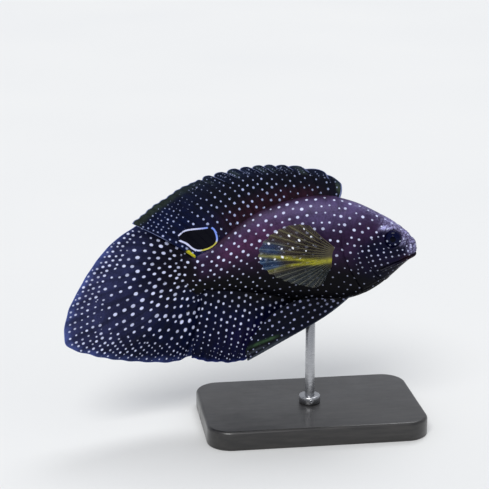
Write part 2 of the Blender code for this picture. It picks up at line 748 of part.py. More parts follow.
def make_stand():
    """The base with its bevelled top edge, the collar and the rod, whose end stands in the trunk's hole."""
    rings = []
    for z, inset in ((0.0, 0.0), (BASE_THICKNESS - BASE_BEVEL, 0.0), (BASE_THICKNESS, BASE_BEVEL)):
        size = (BASE_LENGTH - 2 * inset, BASE_WIDTH - 2 * inset, BASE_CORNER - inset)
        rings.append([(x, y, z) for x, y in rounded_outline(*size)])
    n = len(rings[0])
    faces = [tuple(range(n)), tuple(range(2 * n, 3 * n))]
    for i in range(2):
        for k in range(n):
            after = (k + 1) % n
            faces.append((i * n + k, i * n + after, (i + 1) * n + after, (i + 1) * n + k))
    solid("stand_base", [p for ring in rings for p in ring], faces, "base", smooth=False)

    low = BASE_THICKNESS + GAP
    collar = solid("stand_collar", *tube_points(COLLAR_RADIUS, low, low + COLLAR_HEIGHT), "steel")
    bore = tube_points(ROD_RADIUS + GAP, low - CUT_PAST, low + COLLAR_HEIGHT + CUT_PAST)
    cut(collar, cutter("collar_bore", *bore))
    solid("stand_rod", *tube_points(ROD_RADIUS, low, BELLY_HEIGHT + ROD_DEPTH), "steel")


clear_scene()
make_head()
make_trunk_and_stalk()
make_median_fins()
make_caudal_fin()
make_paired_fins()
make_stand()
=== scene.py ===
"""Looks of the marine betta display model: skin, eyes, fins, fin rays and stand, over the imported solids.

Fish coordinates are flat and in millimetres: s runs back from the tip of the snout, y to the fish's left and
z up. The backbone carries them on to the bent fish, and a point becomes metres when its mesh is made. A
pattern's values are worked out on each piece's own surface and kept as attributes for the shaders.
"""

from __future__ import annotations

import logging
import math
from dataclasses import dataclass, field
from enum import Enum
from itertools import product
from typing import Callable, Iterable, Sequence

import bpy
import numpy as np
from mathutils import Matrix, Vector


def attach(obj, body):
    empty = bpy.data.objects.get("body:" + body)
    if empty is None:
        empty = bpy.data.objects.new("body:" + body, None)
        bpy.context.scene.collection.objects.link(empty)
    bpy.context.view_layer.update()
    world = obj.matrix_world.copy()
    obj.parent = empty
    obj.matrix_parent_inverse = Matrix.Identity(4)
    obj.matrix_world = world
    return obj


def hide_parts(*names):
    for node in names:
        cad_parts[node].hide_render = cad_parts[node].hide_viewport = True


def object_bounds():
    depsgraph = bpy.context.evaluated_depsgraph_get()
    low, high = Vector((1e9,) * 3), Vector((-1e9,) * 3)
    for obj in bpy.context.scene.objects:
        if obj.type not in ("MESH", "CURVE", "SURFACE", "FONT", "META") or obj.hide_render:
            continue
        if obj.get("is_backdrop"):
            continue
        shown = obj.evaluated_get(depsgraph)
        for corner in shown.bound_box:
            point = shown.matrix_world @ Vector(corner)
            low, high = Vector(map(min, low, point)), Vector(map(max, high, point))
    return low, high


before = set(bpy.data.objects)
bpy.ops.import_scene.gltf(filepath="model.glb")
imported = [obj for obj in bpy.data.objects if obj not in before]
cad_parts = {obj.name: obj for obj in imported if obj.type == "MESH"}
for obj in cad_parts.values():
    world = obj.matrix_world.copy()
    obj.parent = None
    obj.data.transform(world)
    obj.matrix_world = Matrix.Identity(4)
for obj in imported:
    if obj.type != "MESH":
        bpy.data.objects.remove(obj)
CAD_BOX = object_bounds()

LOG = logging.getLogger("marine_betta")
MM = 0.001
TURN = 2 * math.pi
BODY = "root"
BEAM_SIDES = 8
SIDES = ((1, "right"), (-1, "left"))
UV_START = np.array([0.015, 0.02])
UV_SIZE = np.array([0.46, 0.96])
UV_SECOND = (0.51, 0.0)
UV_HEM = 0.008
EYE_STATION = 9.4
EYE_HEIGHT = 5.2
EYE_RADIUS = 3.4

Array = np.ndarray
Tone = tuple[float, float, float]
Socket = bpy.types.NodeSocket
Values = dict[str, Array]


def smoothstep(x: Array | float) -> Array:
    """0 below 0, 1 above 1 and a smooth rise between."""
    x = np.clip(x, 0.0, 1.0)
    return x * x * (3.0 - 2.0 * x)


def rise(x: Array | float, start: Array | float, width: Array | float) -> Array:
    """0 up to start and 1 from a width past it, with a smooth rise between."""
    return smoothstep((x - start) / width)


def fall(x: Array | float, start: Array | float, width: Array | float) -> Array:
    """1 up to start and 0 from a width past it, with a smooth fall between."""
    return 1 - rise(x, start, width)


def hill(distance: Array, width: Array | float) -> Array:
    """1 at distance 0, falling smoothly to nothing over a few widths."""
    return np.exp(-((distance / width) ** 2))


def blot(x: Array, y: Array) -> Array:
    """1 where x and y are 0, falling smoothly to nothing all round."""
    return np.exp(-(x**2) - y**2)


def through(places: Sequence[float], heights: Sequence[float], x: Array | float) -> Array:
    """Height of a smooth curve through points.

    Args:
        places: where the points are, rising.
        heights: the curve's height at each.
        x: where the height is wanted.

    Returns:
        The heights at x, with the slopes of the points' neighbours.
    """
    xs, ys = np.asarray(places, float), np.asarray(heights, float)
    slopes = np.gradient(ys, xs)
    x = np.clip(x, xs[0], xs[-1])
    k = np.clip(np.searchsorted(xs, x) - 1, 0, len(xs) - 2)
    width = xs[k + 1] - xs[k]
    t = (x - xs[k]) / width
    share = smoothstep(t)
    start = ((t - 2) * t + 1) * t * width * slopes[k]
    end = (t - 1) * t * t * width * slopes[k + 1]
    return ys[k] * (1 - share) + ys[k + 1] * share + start + end


def evenly(values: Sequence[float], u: Array | float) -> Array:
    """Value at share u of the way through evenly spaced values."""
    return through(np.linspace(0, 1, len(values)), values, u)


def path_point(points: Sequence[tuple[float, float]], u: Array) -> Array:
    """Point at share u of the way through points of a smooth path."""
    return np.stack([evenly([point[k] for point in points], u) for k in (0, 1)], -1)


def srgb(red: int, green: int, blue: int) -> Tone:
    """A linear colour from its 8-bit screen values."""
    shares = (red / 255, green / 255, blue / 255)
    return tuple(c / 12.92 if c <= 0.04045 else ((c + 0.055) / 1.055) ** 2.4 for c in shares)


@dataclass(frozen=True)
class BodyShape:
    """The body's outline: stations with the height of the back, the depth of the belly and the half width."""

    stations: tuple = (-0.7, 0.6, 2.5, 6, 10, 16, 23, 30, 38, 47, 57, 67, 77, 85, 91)
    backs: tuple = (0.4, 2.7, 5.2, 8.6, 11.5, 14.9, 18.4, 20.8, 22, 21.3, 18.9, 14.9, 9.4, 5.7, 5.3)
    bellies: tuple = (
        (-1.3, -2.6, -4.1, -7.1, -10.9, -15.7, -19.7, -21.7, -22.3, -21.7, -19.9, -17.2, -14.2, -11.6, -10)
    )
    half_widths: tuple = (0.9, 2.3, 3.4, 4.7, 5.7, 6.9, 7.9, 8.5, 8.5, 7.8, 6.4, 4.8, 3.3, 2.2, 1.5)
    squareness: float = 2.2
    gill_station: float = 30.5
    gill_rise: float = 3.0
    gill_drop: float = 8.5
    gill_turn: float = 0.3

    def back(self, s: Array) -> Array:
        """Height of the back."""
        return through(self.stations, self.backs, s)

    def belly(self, s: Array) -> Array:
        """Height of the belly, below zero."""
        return through(self.stations, self.bellies, s)

    def half_width(self, s: Array) -> Array:
        """Half width of the body."""
        return through(self.stations, self.half_widths, s)

    def rounded(self, share: Array) -> Array:
        """Half the section's extent at a share of the way out on its other axis."""
        return (1 - share.clip(0, 1) ** self.squareness) ** (1 / self.squareness)

    def flank(self, s: Array, z: Array) -> Array:
        """Half width of the body at height z."""
        top, bottom = self.back(s), self.belly(s)
        return self.half_width(s) * self.rounded(np.abs((2 * z - top - bottom) / (top - bottom)))

    def underside(self, s: Array, y: Array | float) -> Array:
        """Height of the body's underside at a distance y from the middle."""
        top, bottom = self.back(s), self.belly(s)
        return (top + bottom) / 2 - (top - bottom) / 2 * self.rounded(np.abs(y / self.half_width(s)))

    def ring(self, s: Array, angle: Array) -> Array:
        """Flat points round the body.

        Args:
            s: the stations.
            angle: angles from the back, which grow towards the fish's right.

        Returns:
            (..., 3) of s, y and z.
        """
        s, angle = np.broadcast_arrays(s, angle)
        top, bottom = self.back(s), self.belly(s)
        power = 2 / self.squareness
        high, out = (np.sign(share) * np.abs(share) ** power for share in (np.cos(angle), np.sin(angle)))
        return np.stack([s, -self.half_width(s) * out, (top + bottom) / 2 + (top - bottom) / 2 * high], -1)

    def gill_line(self, angle: Array) -> Array:
        """Station of the gill cover's rear edge, which bulges back at the side and turns forward below.

        Args:
            angle: angles round the body from its back.

        Returns:
            A station at each angle.
        """
        cosine = np.cos(angle)
        below = smoothstep((self.gill_turn - cosine) / (1 + self.gill_turn))
        return self.gill_station - self.gill_rise * np.maximum(cosine, 0) ** 2 - self.gill_drop * below


SHAPE = BodyShape()


@dataclass
class Backbone:
    """The fish's bent centre line: its heading turns by yaw and climbs by pitch from the head to the tail."""

    yaw: tuple[float, float] = (-17.0, 16.0)
    yaw_span: tuple[float, float] = (0.0, 140.0)
    pitch: tuple[float, float] = (2.0, 28.0)
    pitch_span: tuple[float, float] = (40.0, 125.0)
    span: tuple[float, float] = (-8.0, 180.0)
    step: float = 0.25
    snout_height: float = 77.0
    rod_station: float = 44.0

    def __post_init__(self) -> None:
        """Works out the line, its directions and the shift that stands the fish over its base."""
        self.stations = np.arange(*self.span, self.step)
        yaw, pitch = self.heading(self.yaw, self.yaw_span), self.heading(self.pitch, self.pitch_span)
        forward = np.stack([np.cos(yaw) * np.cos(pitch), np.sin(yaw) * np.cos(pitch), np.sin(pitch)], 1)
        self.left = np.stack([-np.sin(yaw), np.cos(yaw), 0 * yaw], 1)
        self.up = np.cross(forward, self.left)
        self.line = np.zeros_like(forward)
        self.line[1:] = -np.cumsum((forward[1:] + forward[:-1]) / 2 * self.step, axis=0)
        self.line -= self.line[round(-self.span[0] / self.step)]
        self.shift = np.zeros(3)
        self.shift = np.array([*-self.rod_top()[:2], self.snout_height])

    def heading(self, ends: tuple[float, float], span: tuple[float, float]) -> Array:
        """The heading's angle at each station, in radians, from its ends and the span that it turns over."""
        return np.radians(ends[0] + (ends[1] - ends[0]) * rise(self.stations, span[0], span[1] - span[0]))

    def at(self, s: Array, vectors: Array) -> Array:
        """Values of one of the line's fields at stations s."""
        return np.stack([np.interp(s, self.stations, vectors[:, k]) for k in range(3)], -1)

    def place(self, points: Array) -> Array:
        """Carries flat points on to the bent fish.

        Args:
            points: (..., 3) of s, y and z in millimetres.

        Returns:
            (..., 3) of x, y and z in millimetres, over the base.
        """
        s, y, z = points[..., 0], points[..., 1:2], points[..., 2:3]
        return self.at(s, self.line) + self.at(s, self.left) * y + self.at(s, self.up) * z + self.shift

    def rod_top(self) -> Array:
        """Where the rod meets the belly."""
        return self.place(np.array([self.rod_station, 0.0, float(SHAPE.belly(self.rod_station))]))


BACKBONE = Backbone()


@dataclass
class Surface:
    """A grid of bent points in millimetres, with the values that its finish reads at each point."""

    points: Array
    values: Values = field(default_factory=dict)
    spot_stretch: float = 1.2

    def normals(self) -> Array:
        """Directions across the surface, of length 1."""
        found = np.cross(np.gradient(self.points, axis=0), np.gradient(self.points, axis=1))
        return found / np.maximum(np.linalg.norm(found, axis=-1, keepdims=True), 1e-9)

    def steps(self, axis: int) -> Array:
        """Distance run along the grid's rows or columns, from the first of them.

        Args:
            axis: 0 along the grid's first index, 1 along its second.

        Returns:
            The distance at each point, in millimetres.
        """
        moves = np.linalg.norm(np.diff(self.points, axis=axis), axis=-1)
        start = np.zeros_like(np.take(moves, [0], axis=axis))
        return np.concatenate([start, np.cumsum(moves, axis=axis)], axis=axis)

    def to_margin(self) -> Array:
        """Distance left along each row of points to its last one."""
        run = self.steps(1)
        return run[:, [-1]] - run

    def sample(self, rows: Array, columns: Array) -> tuple[Array, Values]:
        """Points and values at fractional places of the grid.

        Args:
            rows: place along the first axis, from 0 to 1.
            columns: place along the second axis, from 0 to 1.

        Returns:
            The points, and each value at them.
        """
        n, m = self.points.shape[:2]
        i, k = rows * (n - 1), columns * (m - 1)
        low_i, low_k = np.clip(i.astype(int), 0, n - 2), np.clip(k.astype(int), 0, m - 2)
        share_i, share_k = (i - low_i)[:, None], (k - low_k)[:, None]

        def blend(grid: Array) -> Array:
            """The grid's value between its four nearest points."""
            near = grid[low_i, low_k] * (1 - share_k) + grid[low_i, low_k + 1] * share_k
            far = grid[low_i + 1, low_k] * (1 - share_k) + grid[low_i + 1, low_k + 1] * share_k
            return near * (1 - share_i) + far * share_i

        return blend(self.points), {name: blend(grid) for name, grid in self.values.items()}

    def lay_spots(self, along: Array, rows: Array, radii: Sequence, glow: Array | float) -> None:
        """Stores the lattice that the spots lie on, and its lengths on the surface.

        Args:
            along: place along the spots' rows, one unit for each spot.
            rows: number of the row.
            radii: radius in millimetres of the main spots, of twice as many and of four times as many.
            glow: how bright the spots are, from 0 to 1.
        """
        along = along + 0.5 * rows
        across, down = (np.gradient(self.points, axis=k) for k in (0, 1))
        a_i, a_k, b_i, b_k = (np.gradient(grid, axis=k)[..., None] for grid in (along, rows) for k in (0, 1))
        turn = a_i * b_k - a_k * b_i
        turn = np.where(np.abs(turn) < 1e-7, 1e-7, turn)
        by_a = (across * b_k - down * b_i) / turn
        by_b = (down * a_i - across * a_k) / turn
        form = [(by_a * by_a).sum(-1), (by_a * by_b).sum(-1), (by_b * by_b).sum(-1)]
        drawn = 1 - 1 / self.spot_stretch**2
        form[2] = form[2] - drawn * form[1] ** 2 / np.maximum(form[0], 1e-6)
        form[0], form[1] = form[0] * (1 - drawn), form[1] * (1 - drawn)
        self.mark("spot_place", along, rows, glow)
        self.mark("spot_form", *(part.clip(-400, 400) for part in form))
        self.mark("spot_radii", *radii)

    def mark(self, name: str, *parts: Array | float) -> None:
        """Stores three numbers at each point under one name."""
        blank = np.zeros(self.points.shape[:2])
        self.values[name] = np.stack([part + blank for part in parts], -1)


def add_object(name: str, data: bpy.types.ID) -> bpy.types.Object:
    """A new object in the scene with its data.

    Args:
        name: the object's name.
        data: what it shows.

    Returns:
        The object.
    """
    made = bpy.data.objects.new(name, data)
    bpy.context.scene.collection.objects.link(made)
    return made


def store_values(mesh: bpy.types.Mesh, values: Values) -> None:
    """Keeps (n, 3) of numbers on a mesh's points for each attribute.

    Args:
        mesh: the mesh.
        values: three numbers at each point, by the attribute's name.
    """
    for name, numbers in values.items():
        layer = mesh.attributes.new(name, "FLOAT_VECTOR", "POINT")
        layer.data.foreach_set("vector", numbers.astype(np.float32).ravel())


def turn_outwards(mesh: bpy.types.Mesh) -> None:
    """Flips a mesh whose faces point inwards, which makes the volume that they enclose negative.

    Args:
        mesh: the closed mesh.
    """
    mesh.calc_loop_triangles()
    corners = np.empty(len(mesh.loop_triangles) * 3, np.int64)
    mesh.loop_triangles.foreach_get("vertices", corners)
    places = np.empty(len(mesh.vertices) * 3)
    mesh.vertices.foreach_get("co", places)
    a, b, c = places.reshape(-1, 3)[corners.reshape(-1, 3)].transpose(1, 0, 2)
    if (a * np.cross(b, c)).sum() < 0:
        mesh.flip_normals()


def make_mesh(
    name: str, points: Array, faces: Sequence, values: Values | None = None, corners: Array | None = None
) -> bpy.types.Object:
    """A smooth mesh object at the origin, with its faces turned outwards.

    Args:
        name: the piece's name.
        points: (n, 3) in millimetres.
        faces: tuples of point numbers that close one surface.
        values: (n, 3) of numbers for each attribute.
        corners: the UV place of each face corner in order, or None.

    Returns:
        The object, linked to the scene.
    """
    mesh = bpy.data.meshes.new(name)
    mesh.from_pydata((points * MM).tolist(), [], faces)
    store_values(mesh, values or {})
    if corners is not None:
        mesh.uv_layers.new(name="OFBake").uv.foreach_set("vector", corners.astype(np.float32).ravel())
    turn_outwards(mesh)
    mesh.shade_smooth()
    return add_object(name, mesh)


def squares(grid: Array) -> Array:
    """The corners of each square of a grid, (n, 4, ...)."""
    found = np.stack([grid[:-1, :-1], grid[1:, :-1], grid[1:, 1:], grid[:-1, 1:]], 2)
    return found.reshape(-1, *found.shape[2:])


def ringed_faces(rings: int, around: int) -> list[list[int]]:
    """Faces of a closed form made of rings, whose first and last ring each close on one more point.

    Args:
        rings: how many rings there are.
        around: how many points each ring has.

    Returns:
        The quads, then the triangles at the first and at the last ring.
    """
    count = rings * around
    number = np.arange(count).reshape(rings, around)
    number = np.concatenate([number, number[:, :1]], 1)
    first = np.stack([number[0, :-1], number[0, 1:], np.full(around, count)], -1)
    last = np.stack([number[-1, 1:], number[-1, :-1], np.full(around, count + 1)], -1)
    return squares(number).tolist() + first.tolist() + last.tolist()


def closed_sheet(name: str, surface: Surface, half: Array) -> bpy.types.Object:
    """A thin closed sheet whose two faces stand off a surface.

    Args:
        name: the piece's name.
        surface: the sheet's middle.
        half: half the sheet's thickness at each point, in millimetres.

    Returns:
        The sheet's object.
    """
    n, m = surface.points.shape[:2]
    offset = surface.normals() * half[..., None]
    points = np.concatenate([(surface.points + side * offset).reshape(-1, 3) for side in (1, -1)])
    values = {key: np.concatenate([grid.reshape(-1, 3)] * 2) for key, grid in surface.values.items()}
    number = np.arange(n * m).reshape(n, m)
    quads = squares(number)
    rim = np.concatenate([number[:-1, 0], number[-1, :-1], number[:0:-1, -1], number[0, :0:-1]])
    after = np.roll(rim, -1)
    edge = np.stack([after, rim, rim + n * m, after + n * m], -1)
    faces = np.concatenate([quads, quads[:, ::-1] + n * m, edge])

    # The two faces lie side by side on the UV sheet, and the edge is a narrow hem round the first
    across, along = np.divmod(np.arange(n * m), m)
    front = UV_START + UV_SIZE * np.stack([across / (n - 1), along / (m - 1)], -1)
    flat = np.concatenate([front, front + UV_SECOND])
    away = front[rim] - front.mean(0)
    outward = np.sign(away) * (np.abs(away) > UV_SIZE / 2 - 0.0001) * UV_HEM
    hem = np.stack([front[after], front[rim], front[rim] + outward, front[after] + outward], 1)
    corners = np.concatenate([flat[quads], flat[quads[:, ::-1] + n * m], hem]).reshape(-1, 2)
    return make_mesh(name, points, faces.tolist(), values, corners)


class NodeTree:
    """Builds the nodes of one tree and links them."""

    def __init__(self, tree: bpy.types.NodeTree) -> None:
        """Keeps the tree that nodes go into."""
        self.tree = tree

    def feed(self, node: bpy.types.Node, inputs: dict | Sequence) -> None:
        """Links sockets into a node's inputs, or sets their values.

        Args:
            node: the node.
            inputs: sockets or values by input name or number, or in order.
        """
        for key, value in inputs.items() if isinstance(inputs, dict) else enumerate(inputs):
            socket = node.inputs[key]
            if isinstance(value, bpy.types.NodeSocket):
                self.tree.links.new(value, socket)
            else:
                socket.default_value = (*value, 1.0) if socket.type == "RGBA" else value

    def add(self, kind: str, inputs: dict | Sequence = (), **settings: object) -> bpy.types.Node:
        """A new node.

        Args:
            kind: its type's identifier.
            inputs: sockets or values by input name or number, or in order.
            settings: its properties.

        Returns:
            The node.
        """
        node = self.tree.nodes.new(kind)
        for key, value in settings.items():
            setattr(node, key, value)
        self.feed(node, inputs)
        return node

    def math(self, operation: str, *values: Socket | float) -> Socket:
        """The result of a Math node."""
        return self.add("ShaderNodeMath", values, operation=operation).outputs[0]

    def times(self, first: Socket, second: Socket | float) -> Socket:
        """The product of two values."""
        return self.math("MULTIPLY", first, second)

    def vector(self, operation: str, *values: Socket | Sequence[float]) -> Socket:
        """The vector that comes out of a Vector Math node."""
        return self.add("ShaderNodeVectorMath", values, operation=operation).outputs[0]

    def ramp(
        self, value: Socket, low: float | Socket, high: float | Socket, start: float = 0.0, end: float = 1.0
    ) -> Socket:
        """A value that runs smoothly from start at low to end at high."""
        inputs = {"Value": value, "From Min": low, "From Max": high, "To Min": start, "To Max": end}
        return self.add("ShaderNodeMapRange", inputs, interpolation_type="SMOOTHSTEP").outputs["Result"]

    def split(self, vector: Socket) -> list[Socket]:
        """The three numbers of a vector."""
        return list(self.add("ShaderNodeSeparateXYZ", [vector]).outputs)

    def join(self, *numbers: Socket | float) -> Socket:
        """A vector from three numbers."""
        return self.add("ShaderNodeCombineXYZ", numbers).outputs[0]

    def mix(self, share: Socket | float, first: Socket | Tone, second: Socket | Tone) -> Socket:
        """The colour between two colours."""
        return self.add("ShaderNodeMix", {0: share, 6: first, 7: second}, data_type="RGBA").outputs[2]

    def attribute(self, name: str) -> Socket:
        """The vector stored under a name on the mesh."""
        node = self.add("ShaderNodeAttribute", attribute_name=name, attribute_type="GEOMETRY")
        return node.outputs["Vector"]

    def here(self) -> Socket:
        """The place on the piece, in metres."""
        return self.add("ShaderNodeTexCoord").outputs["Object"]

    def noise(
        self, place: Socket, scale: float | Socket, detail: float = 3.0, roughness: float = 0.6
    ) -> Socket:
        """The value of a noise texture."""
        inputs = {"Vector": place, "Scale": scale, "Detail": detail, "Roughness": roughness}
        return self.add("ShaderNodeTexNoise", inputs).outputs[0]

    def relief(self, height: Socket, strength: float, distance: float = 0.0001) -> Socket:
        """The normal of a fine relief, whose distance is in metres."""
        inputs = {"Strength": strength, "Distance": distance, "Height": height}
        return self.add("ShaderNodeBump", inputs).outputs[0]

    def effect(self, group: bpy.types.NodeTree, inputs: dict) -> bpy.types.bpy_prop_collection:
        """Puts a shared effect into the tree.

        Args:
            group: the effect.
            inputs: sockets or values by input name.

        Returns:
            The group node's outputs.
        """
        node = self.add("ShaderNodeGroup", node_tree=group)
        self.feed(node, inputs)
        return node.outputs


SOCKET_TYPES = {"value": "NodeSocketFloat", "vector": "NodeSocketVector", "colour": "NodeSocketColor"}
NOISE_RANGE = (0.3, 0.7)
CLOUD_RANGE = (0.32, 0.68)
SMALLEST_SPOT = 0.64
SPOT_RANGE = 0.6
SPOT_START = (0.1, 0.2)


def shared_effect(
    name: str, inputs: dict[str, str], outputs: dict[str, str], build: Callable
) -> bpy.types.NodeTree:
    """A shader node group, built on its first use.

    Args:
        name: the group's name.
        inputs: its inputs' names and kinds.
        outputs: its outputs' names and kinds.
        build: fills it: given the tree's builder and the input sockets by name, it returns the outputs.

    Returns:
        The group.
    """
    found = bpy.data.node_groups.get(name)
    if found:
        return found
    group = bpy.data.node_groups.new(name, "ShaderNodeTree")
    for direction, sockets in (("INPUT", inputs), ("OUTPUT", outputs)):
        for word, kind in sockets.items():
            group.interface.new_socket(word, in_out=direction, socket_type=SOCKET_TYPES[kind])
    nodes = NodeTree(group)
    entry = nodes.add("NodeGroupInput")
    results = build(nodes, {word: entry.outputs[word] for word in inputs})
    nodes.add("NodeGroupOutput", dict(zip(outputs, results)))
    return group


def spot_layer() -> bpy.types.NodeTree:
    """Round spots on a stretched lattice, true to size in millimetres on the surface.

    Returns:
        The group.
    """

    def build(nodes: NodeTree, given: dict[str, Socket]) -> list[Socket]:
        """Measures the way to the nearest spot's middle with the lattice's own lengths."""
        scale, soft = given["Scale"], given["Softness"]
        place = nodes.vector("ADD", nodes.vector("MULTIPLY", given["Place"], scale), given["Shift"])
        inputs = {"Vector": place, "Scale": 1.0, "Randomness": given["Wander"]}
        cells = nodes.add("ShaderNodeTexVoronoi", inputs, voronoi_dimensions="2D")
        way = nodes.vector("DIVIDE", nodes.vector("SUBTRACT", cells.outputs["Position"], place), scale)
        a, b, _ = nodes.split(way)
        along, skew, over = nodes.split(given["Form"])
        squared = nodes.times(nodes.times(a, a), along)
        squared = nodes.math("MULTIPLY_ADD", nodes.times(b, b), over, squared)
        squared = nodes.math("MULTIPLY_ADD", nodes.times(nodes.times(a, b), 2.0), skew, squared)
        distance = nodes.math("SQRT", nodes.math("MAXIMUM", squared, 0.0))
        chance = nodes.split(cells.outputs["Color"])
        share = nodes.math("MULTIPLY_ADD", chance[0], SPOT_RANGE, SMALLEST_SPOT)
        radius = nodes.times(given["Radius"], share)
        ends = (nodes.math("SUBTRACT", radius, soft), nodes.math("ADD", radius, soft))
        inside = nodes.ramp(distance, *ends, 1.0, 0.0)
        return [nodes.times(inside, nodes.ramp(radius, *SPOT_START)), chance[1]]

    inputs = dict.fromkeys(("Place", "Form", "Scale", "Shift"), "vector")
    inputs |= dict.fromkeys(("Radius", "Wander", "Softness"), "value")
    return shared_effect("spot_layer", inputs, {"Mask": "value", "Chance": "value"}, build)


def spot_pattern() -> bpy.types.NodeTree:
    """Main spots, twice as many and four times as many, from the attributes that lay_spots stores.

    Returns:
        The group.
    """
    layers = (
        ((1.0, 1.0, 1.0), (0.33, 0.46, 0.0), 0.34),
        ((1.0, 2.0, 1.0), (7.28, 5.7, 0.0), 0.34),
        ((2.0, 2.0, 1.0), (3.47, 6.73, 0.0), 0.3),
    )

    def build(nodes: NodeTree, given: dict[str, Socket]) -> list[Socket]:
        """Lays the three layers over each other."""
        shared = {word: given[word] for word in ("Place", "Form", "Softness")}
        found = []
        for radius, (scale, shift, wander) in zip(nodes.split(given["Radii"]), layers):
            own = {"Scale": scale, "Shift": shift, "Radius": radius, "Wander": wander}
            found.append(nodes.effect(spot_layer(), {**shared, **own}))
        mask = nodes.math("MAXIMUM", found[0]["Mask"], found[1]["Mask"])
        return [nodes.math("MAXIMUM", mask, found[2]["Mask"]), found[0]["Chance"]]

    inputs = dict.fromkeys(("Place", "Form", "Radii"), "vector") | {"Softness": "value"}
    return shared_effect("spot_pattern", inputs, {"Mask": "value", "Chance": "value"}, build)


def zone_tones() -> bpy.types.NodeTree:
    """The ground colour with three zones laid over it.

    Returns:
        The group.
    """
    words = ("First", "Second", "Third")

    def build(nodes: NodeTree, given: dict[str, Socket]) -> list[Socket]:
        """Mixes in each zone by its share."""
        colour = given["Ground"]
        for share, word in zip(nodes.split(given["Zones"]), words):
            colour = nodes.mix(share, colour, given[word])
        return [colour]

    inputs = {"Zones": "vector"} | dict.fromkeys(("Ground", *words), "colour")
    return shared_effect("zone_tones", inputs, {"Colour": "colour"}, build)


def mottle() -> bpy.types.NodeTree:
    """Cloudy light and dark patches and fine grains, as the colour cells of a fish's skin show.

    Returns:
        The group.
    """

    def build(nodes: NodeTree, given: dict[str, Socket]) -> list[Socket]:
        """Scales the colour by two noises and gives the finer one as a height."""
        here = nodes.here()
        clouds = nodes.noise(here, given["Cloud Scale"], 4.0)
        grains = nodes.noise(here, given["Grain Scale"], 2.0)
        light = nodes.times(nodes.ramp(clouds, *CLOUD_RANGE, -1.0, 1.0), given["Clouds"])
        speck = nodes.times(nodes.ramp(grains, *NOISE_RANGE, -1.0, 1.0), given["Grains"])
        gain = nodes.math("ADD", nodes.math("ADD", light, speck), 1.0)
        return [nodes.vector("MULTIPLY", given["Colour"], nodes.join(gain, gain, gain)), grains, light]

    inputs = {"Colour": "colour"} | dict.fromkeys(("Clouds", "Grains", "Cloud Scale", "Grain Scale"), "value")
    return shared_effect("mottle", inputs, {"Colour": "colour", "Height": "value", "Clouds": "value"}, build)


def ray_streaks() -> bpy.types.NodeTree:
    """Fine lines along a fin's rays, from the fin_rays attribute's numbers across and along the rays.

    Returns:
        The group.
    """

    def build(nodes: NodeTree, given: dict[str, Socket]) -> list[Socket]:
        """Waves across the rays, wandering a little along them."""
        across, along, _ = nodes.split(given["Place"])
        wander = nodes.noise(nodes.join(across, nodes.times(along, 0.06), 0.0), 1.3, 2.0, 0.5)
        wave = nodes.math("SINE", nodes.math("ADD", across, nodes.times(wander, 2.2)))
        return [nodes.ramp(wave, 0.1, 1.0), wave]

    return shared_effect("ray_streaks", {"Place": "vector"}, {"Mask": "value", "Height": "value"}, build)


@dataclass(frozen=True)
class Eyespot:
    """The false eye at the rear of the dorsal fin: a black blot in an open ring.

    path holds the ring's points in flat millimetres, and gap, yellow and blue are parts of it, in numbers of
    those points.
    """

    path: tuple = (
        ((93.4, 17.2), (91.6, 17.75), (89.9, 17.6), (86.5, 16.5), (83.3, 15.6), (81.7, 15.3), (80.6, 14.4))
        + ((80.1, 12.9), (80.0, 10.8), (80.4, 9.0), (81.9, 7.5), (84.9, 6.9), (88.2, 7.5), (90.2, 9.4))
        + ((91.7, 12.4), (93.8, 15.0))
    )
    gap: tuple[float, float] = (4.5, 5.5)
    yellow: tuple[float, float] = (9.2, 11.7)
    blue: tuple[float, float] = (3.5, 9.2)
    ring: float = 0.31
    blot_edge: tuple[float, float] = (-0.5, 0.3)
    clear_edge: tuple[float, float] = (0.7, 1.5)
    samples: int = 300
    black: Tone = srgb(2, 3, 14)
    pale: Tone = srgb(218, 222, 255)
    blue_tone: Tone = srgb(132, 160, 250)
    yellow_tone: Tone = srgb(206, 198, 84)

    def field(self, s: Array, z: Array) -> tuple[Array, Array, Array]:
        """Where flat places lie from the ring.

        Args:
            s: the places' stations.
            z: their heights.

        Returns:
            The distance, the nearest place along the ring, and the distance again, less than 0 inside.
        """
        share = np.linspace(0, 1, self.samples)
        away = np.stack([s, z], -1)[..., None, :] - path_point(self.path, share)
        far = np.hypot(away[..., 0], away[..., 1])
        turned = np.arctan2(away[..., 1], away[..., 0])
        steps = np.diff(np.concatenate([turned, turned[..., :1]], -1), axis=-1)
        winding = np.abs(((steps + math.pi) % TURN - math.pi).sum(-1))
        off = far.min(-1)
        return off, share[far.argmin(-1)] * (len(self.path) - 1), off * np.where(winding > math.pi, -1, 1)

    def effect(self) -> bpy.types.NodeTree:
        """The group that gives the ring's and the blot's masks, the room they leave and the ring's colour.

        Returns:
            The group.
        """

        def build(nodes: NodeTree, given: dict[str, Socket]) -> list[Socket]:
            """Reads the distance and the way along the ring that the fin stores."""
            off, way, distance = nodes.split(given["Place"])

            def part(ends: tuple[float, float], soft: float) -> Socket:
                """1 on a part of the ring, with soft ends."""
                start, end = (nodes.ramp(way, place - soft, place + soft) for place in ends)
                return nodes.times(start, nodes.math("SUBTRACT", 1.0, end))

            ring = nodes.ramp(off, self.ring - 0.1, self.ring + 0.12, 1.0, 0.0)
            ring = nodes.times(ring, nodes.math("SUBTRACT", 1.0, part(self.gap, 0.12)))
            colour = nodes.mix(part(self.blue, 1.0), self.pale, self.blue_tone)
            colour = nodes.mix(part(self.yellow, 0.3), colour, self.yellow_tone)
            blot = nodes.ramp(distance, *self.blot_edge, 1.0, 0.0)
            return [ring, blot, nodes.ramp(distance, *self.clear_edge), colour]

        outputs = {"Ring": "value", "Blot": "value", "Clear": "value", "Colour": "colour"}
        return shared_effect("eyespot", {"Place": "vector"}, outputs, build)


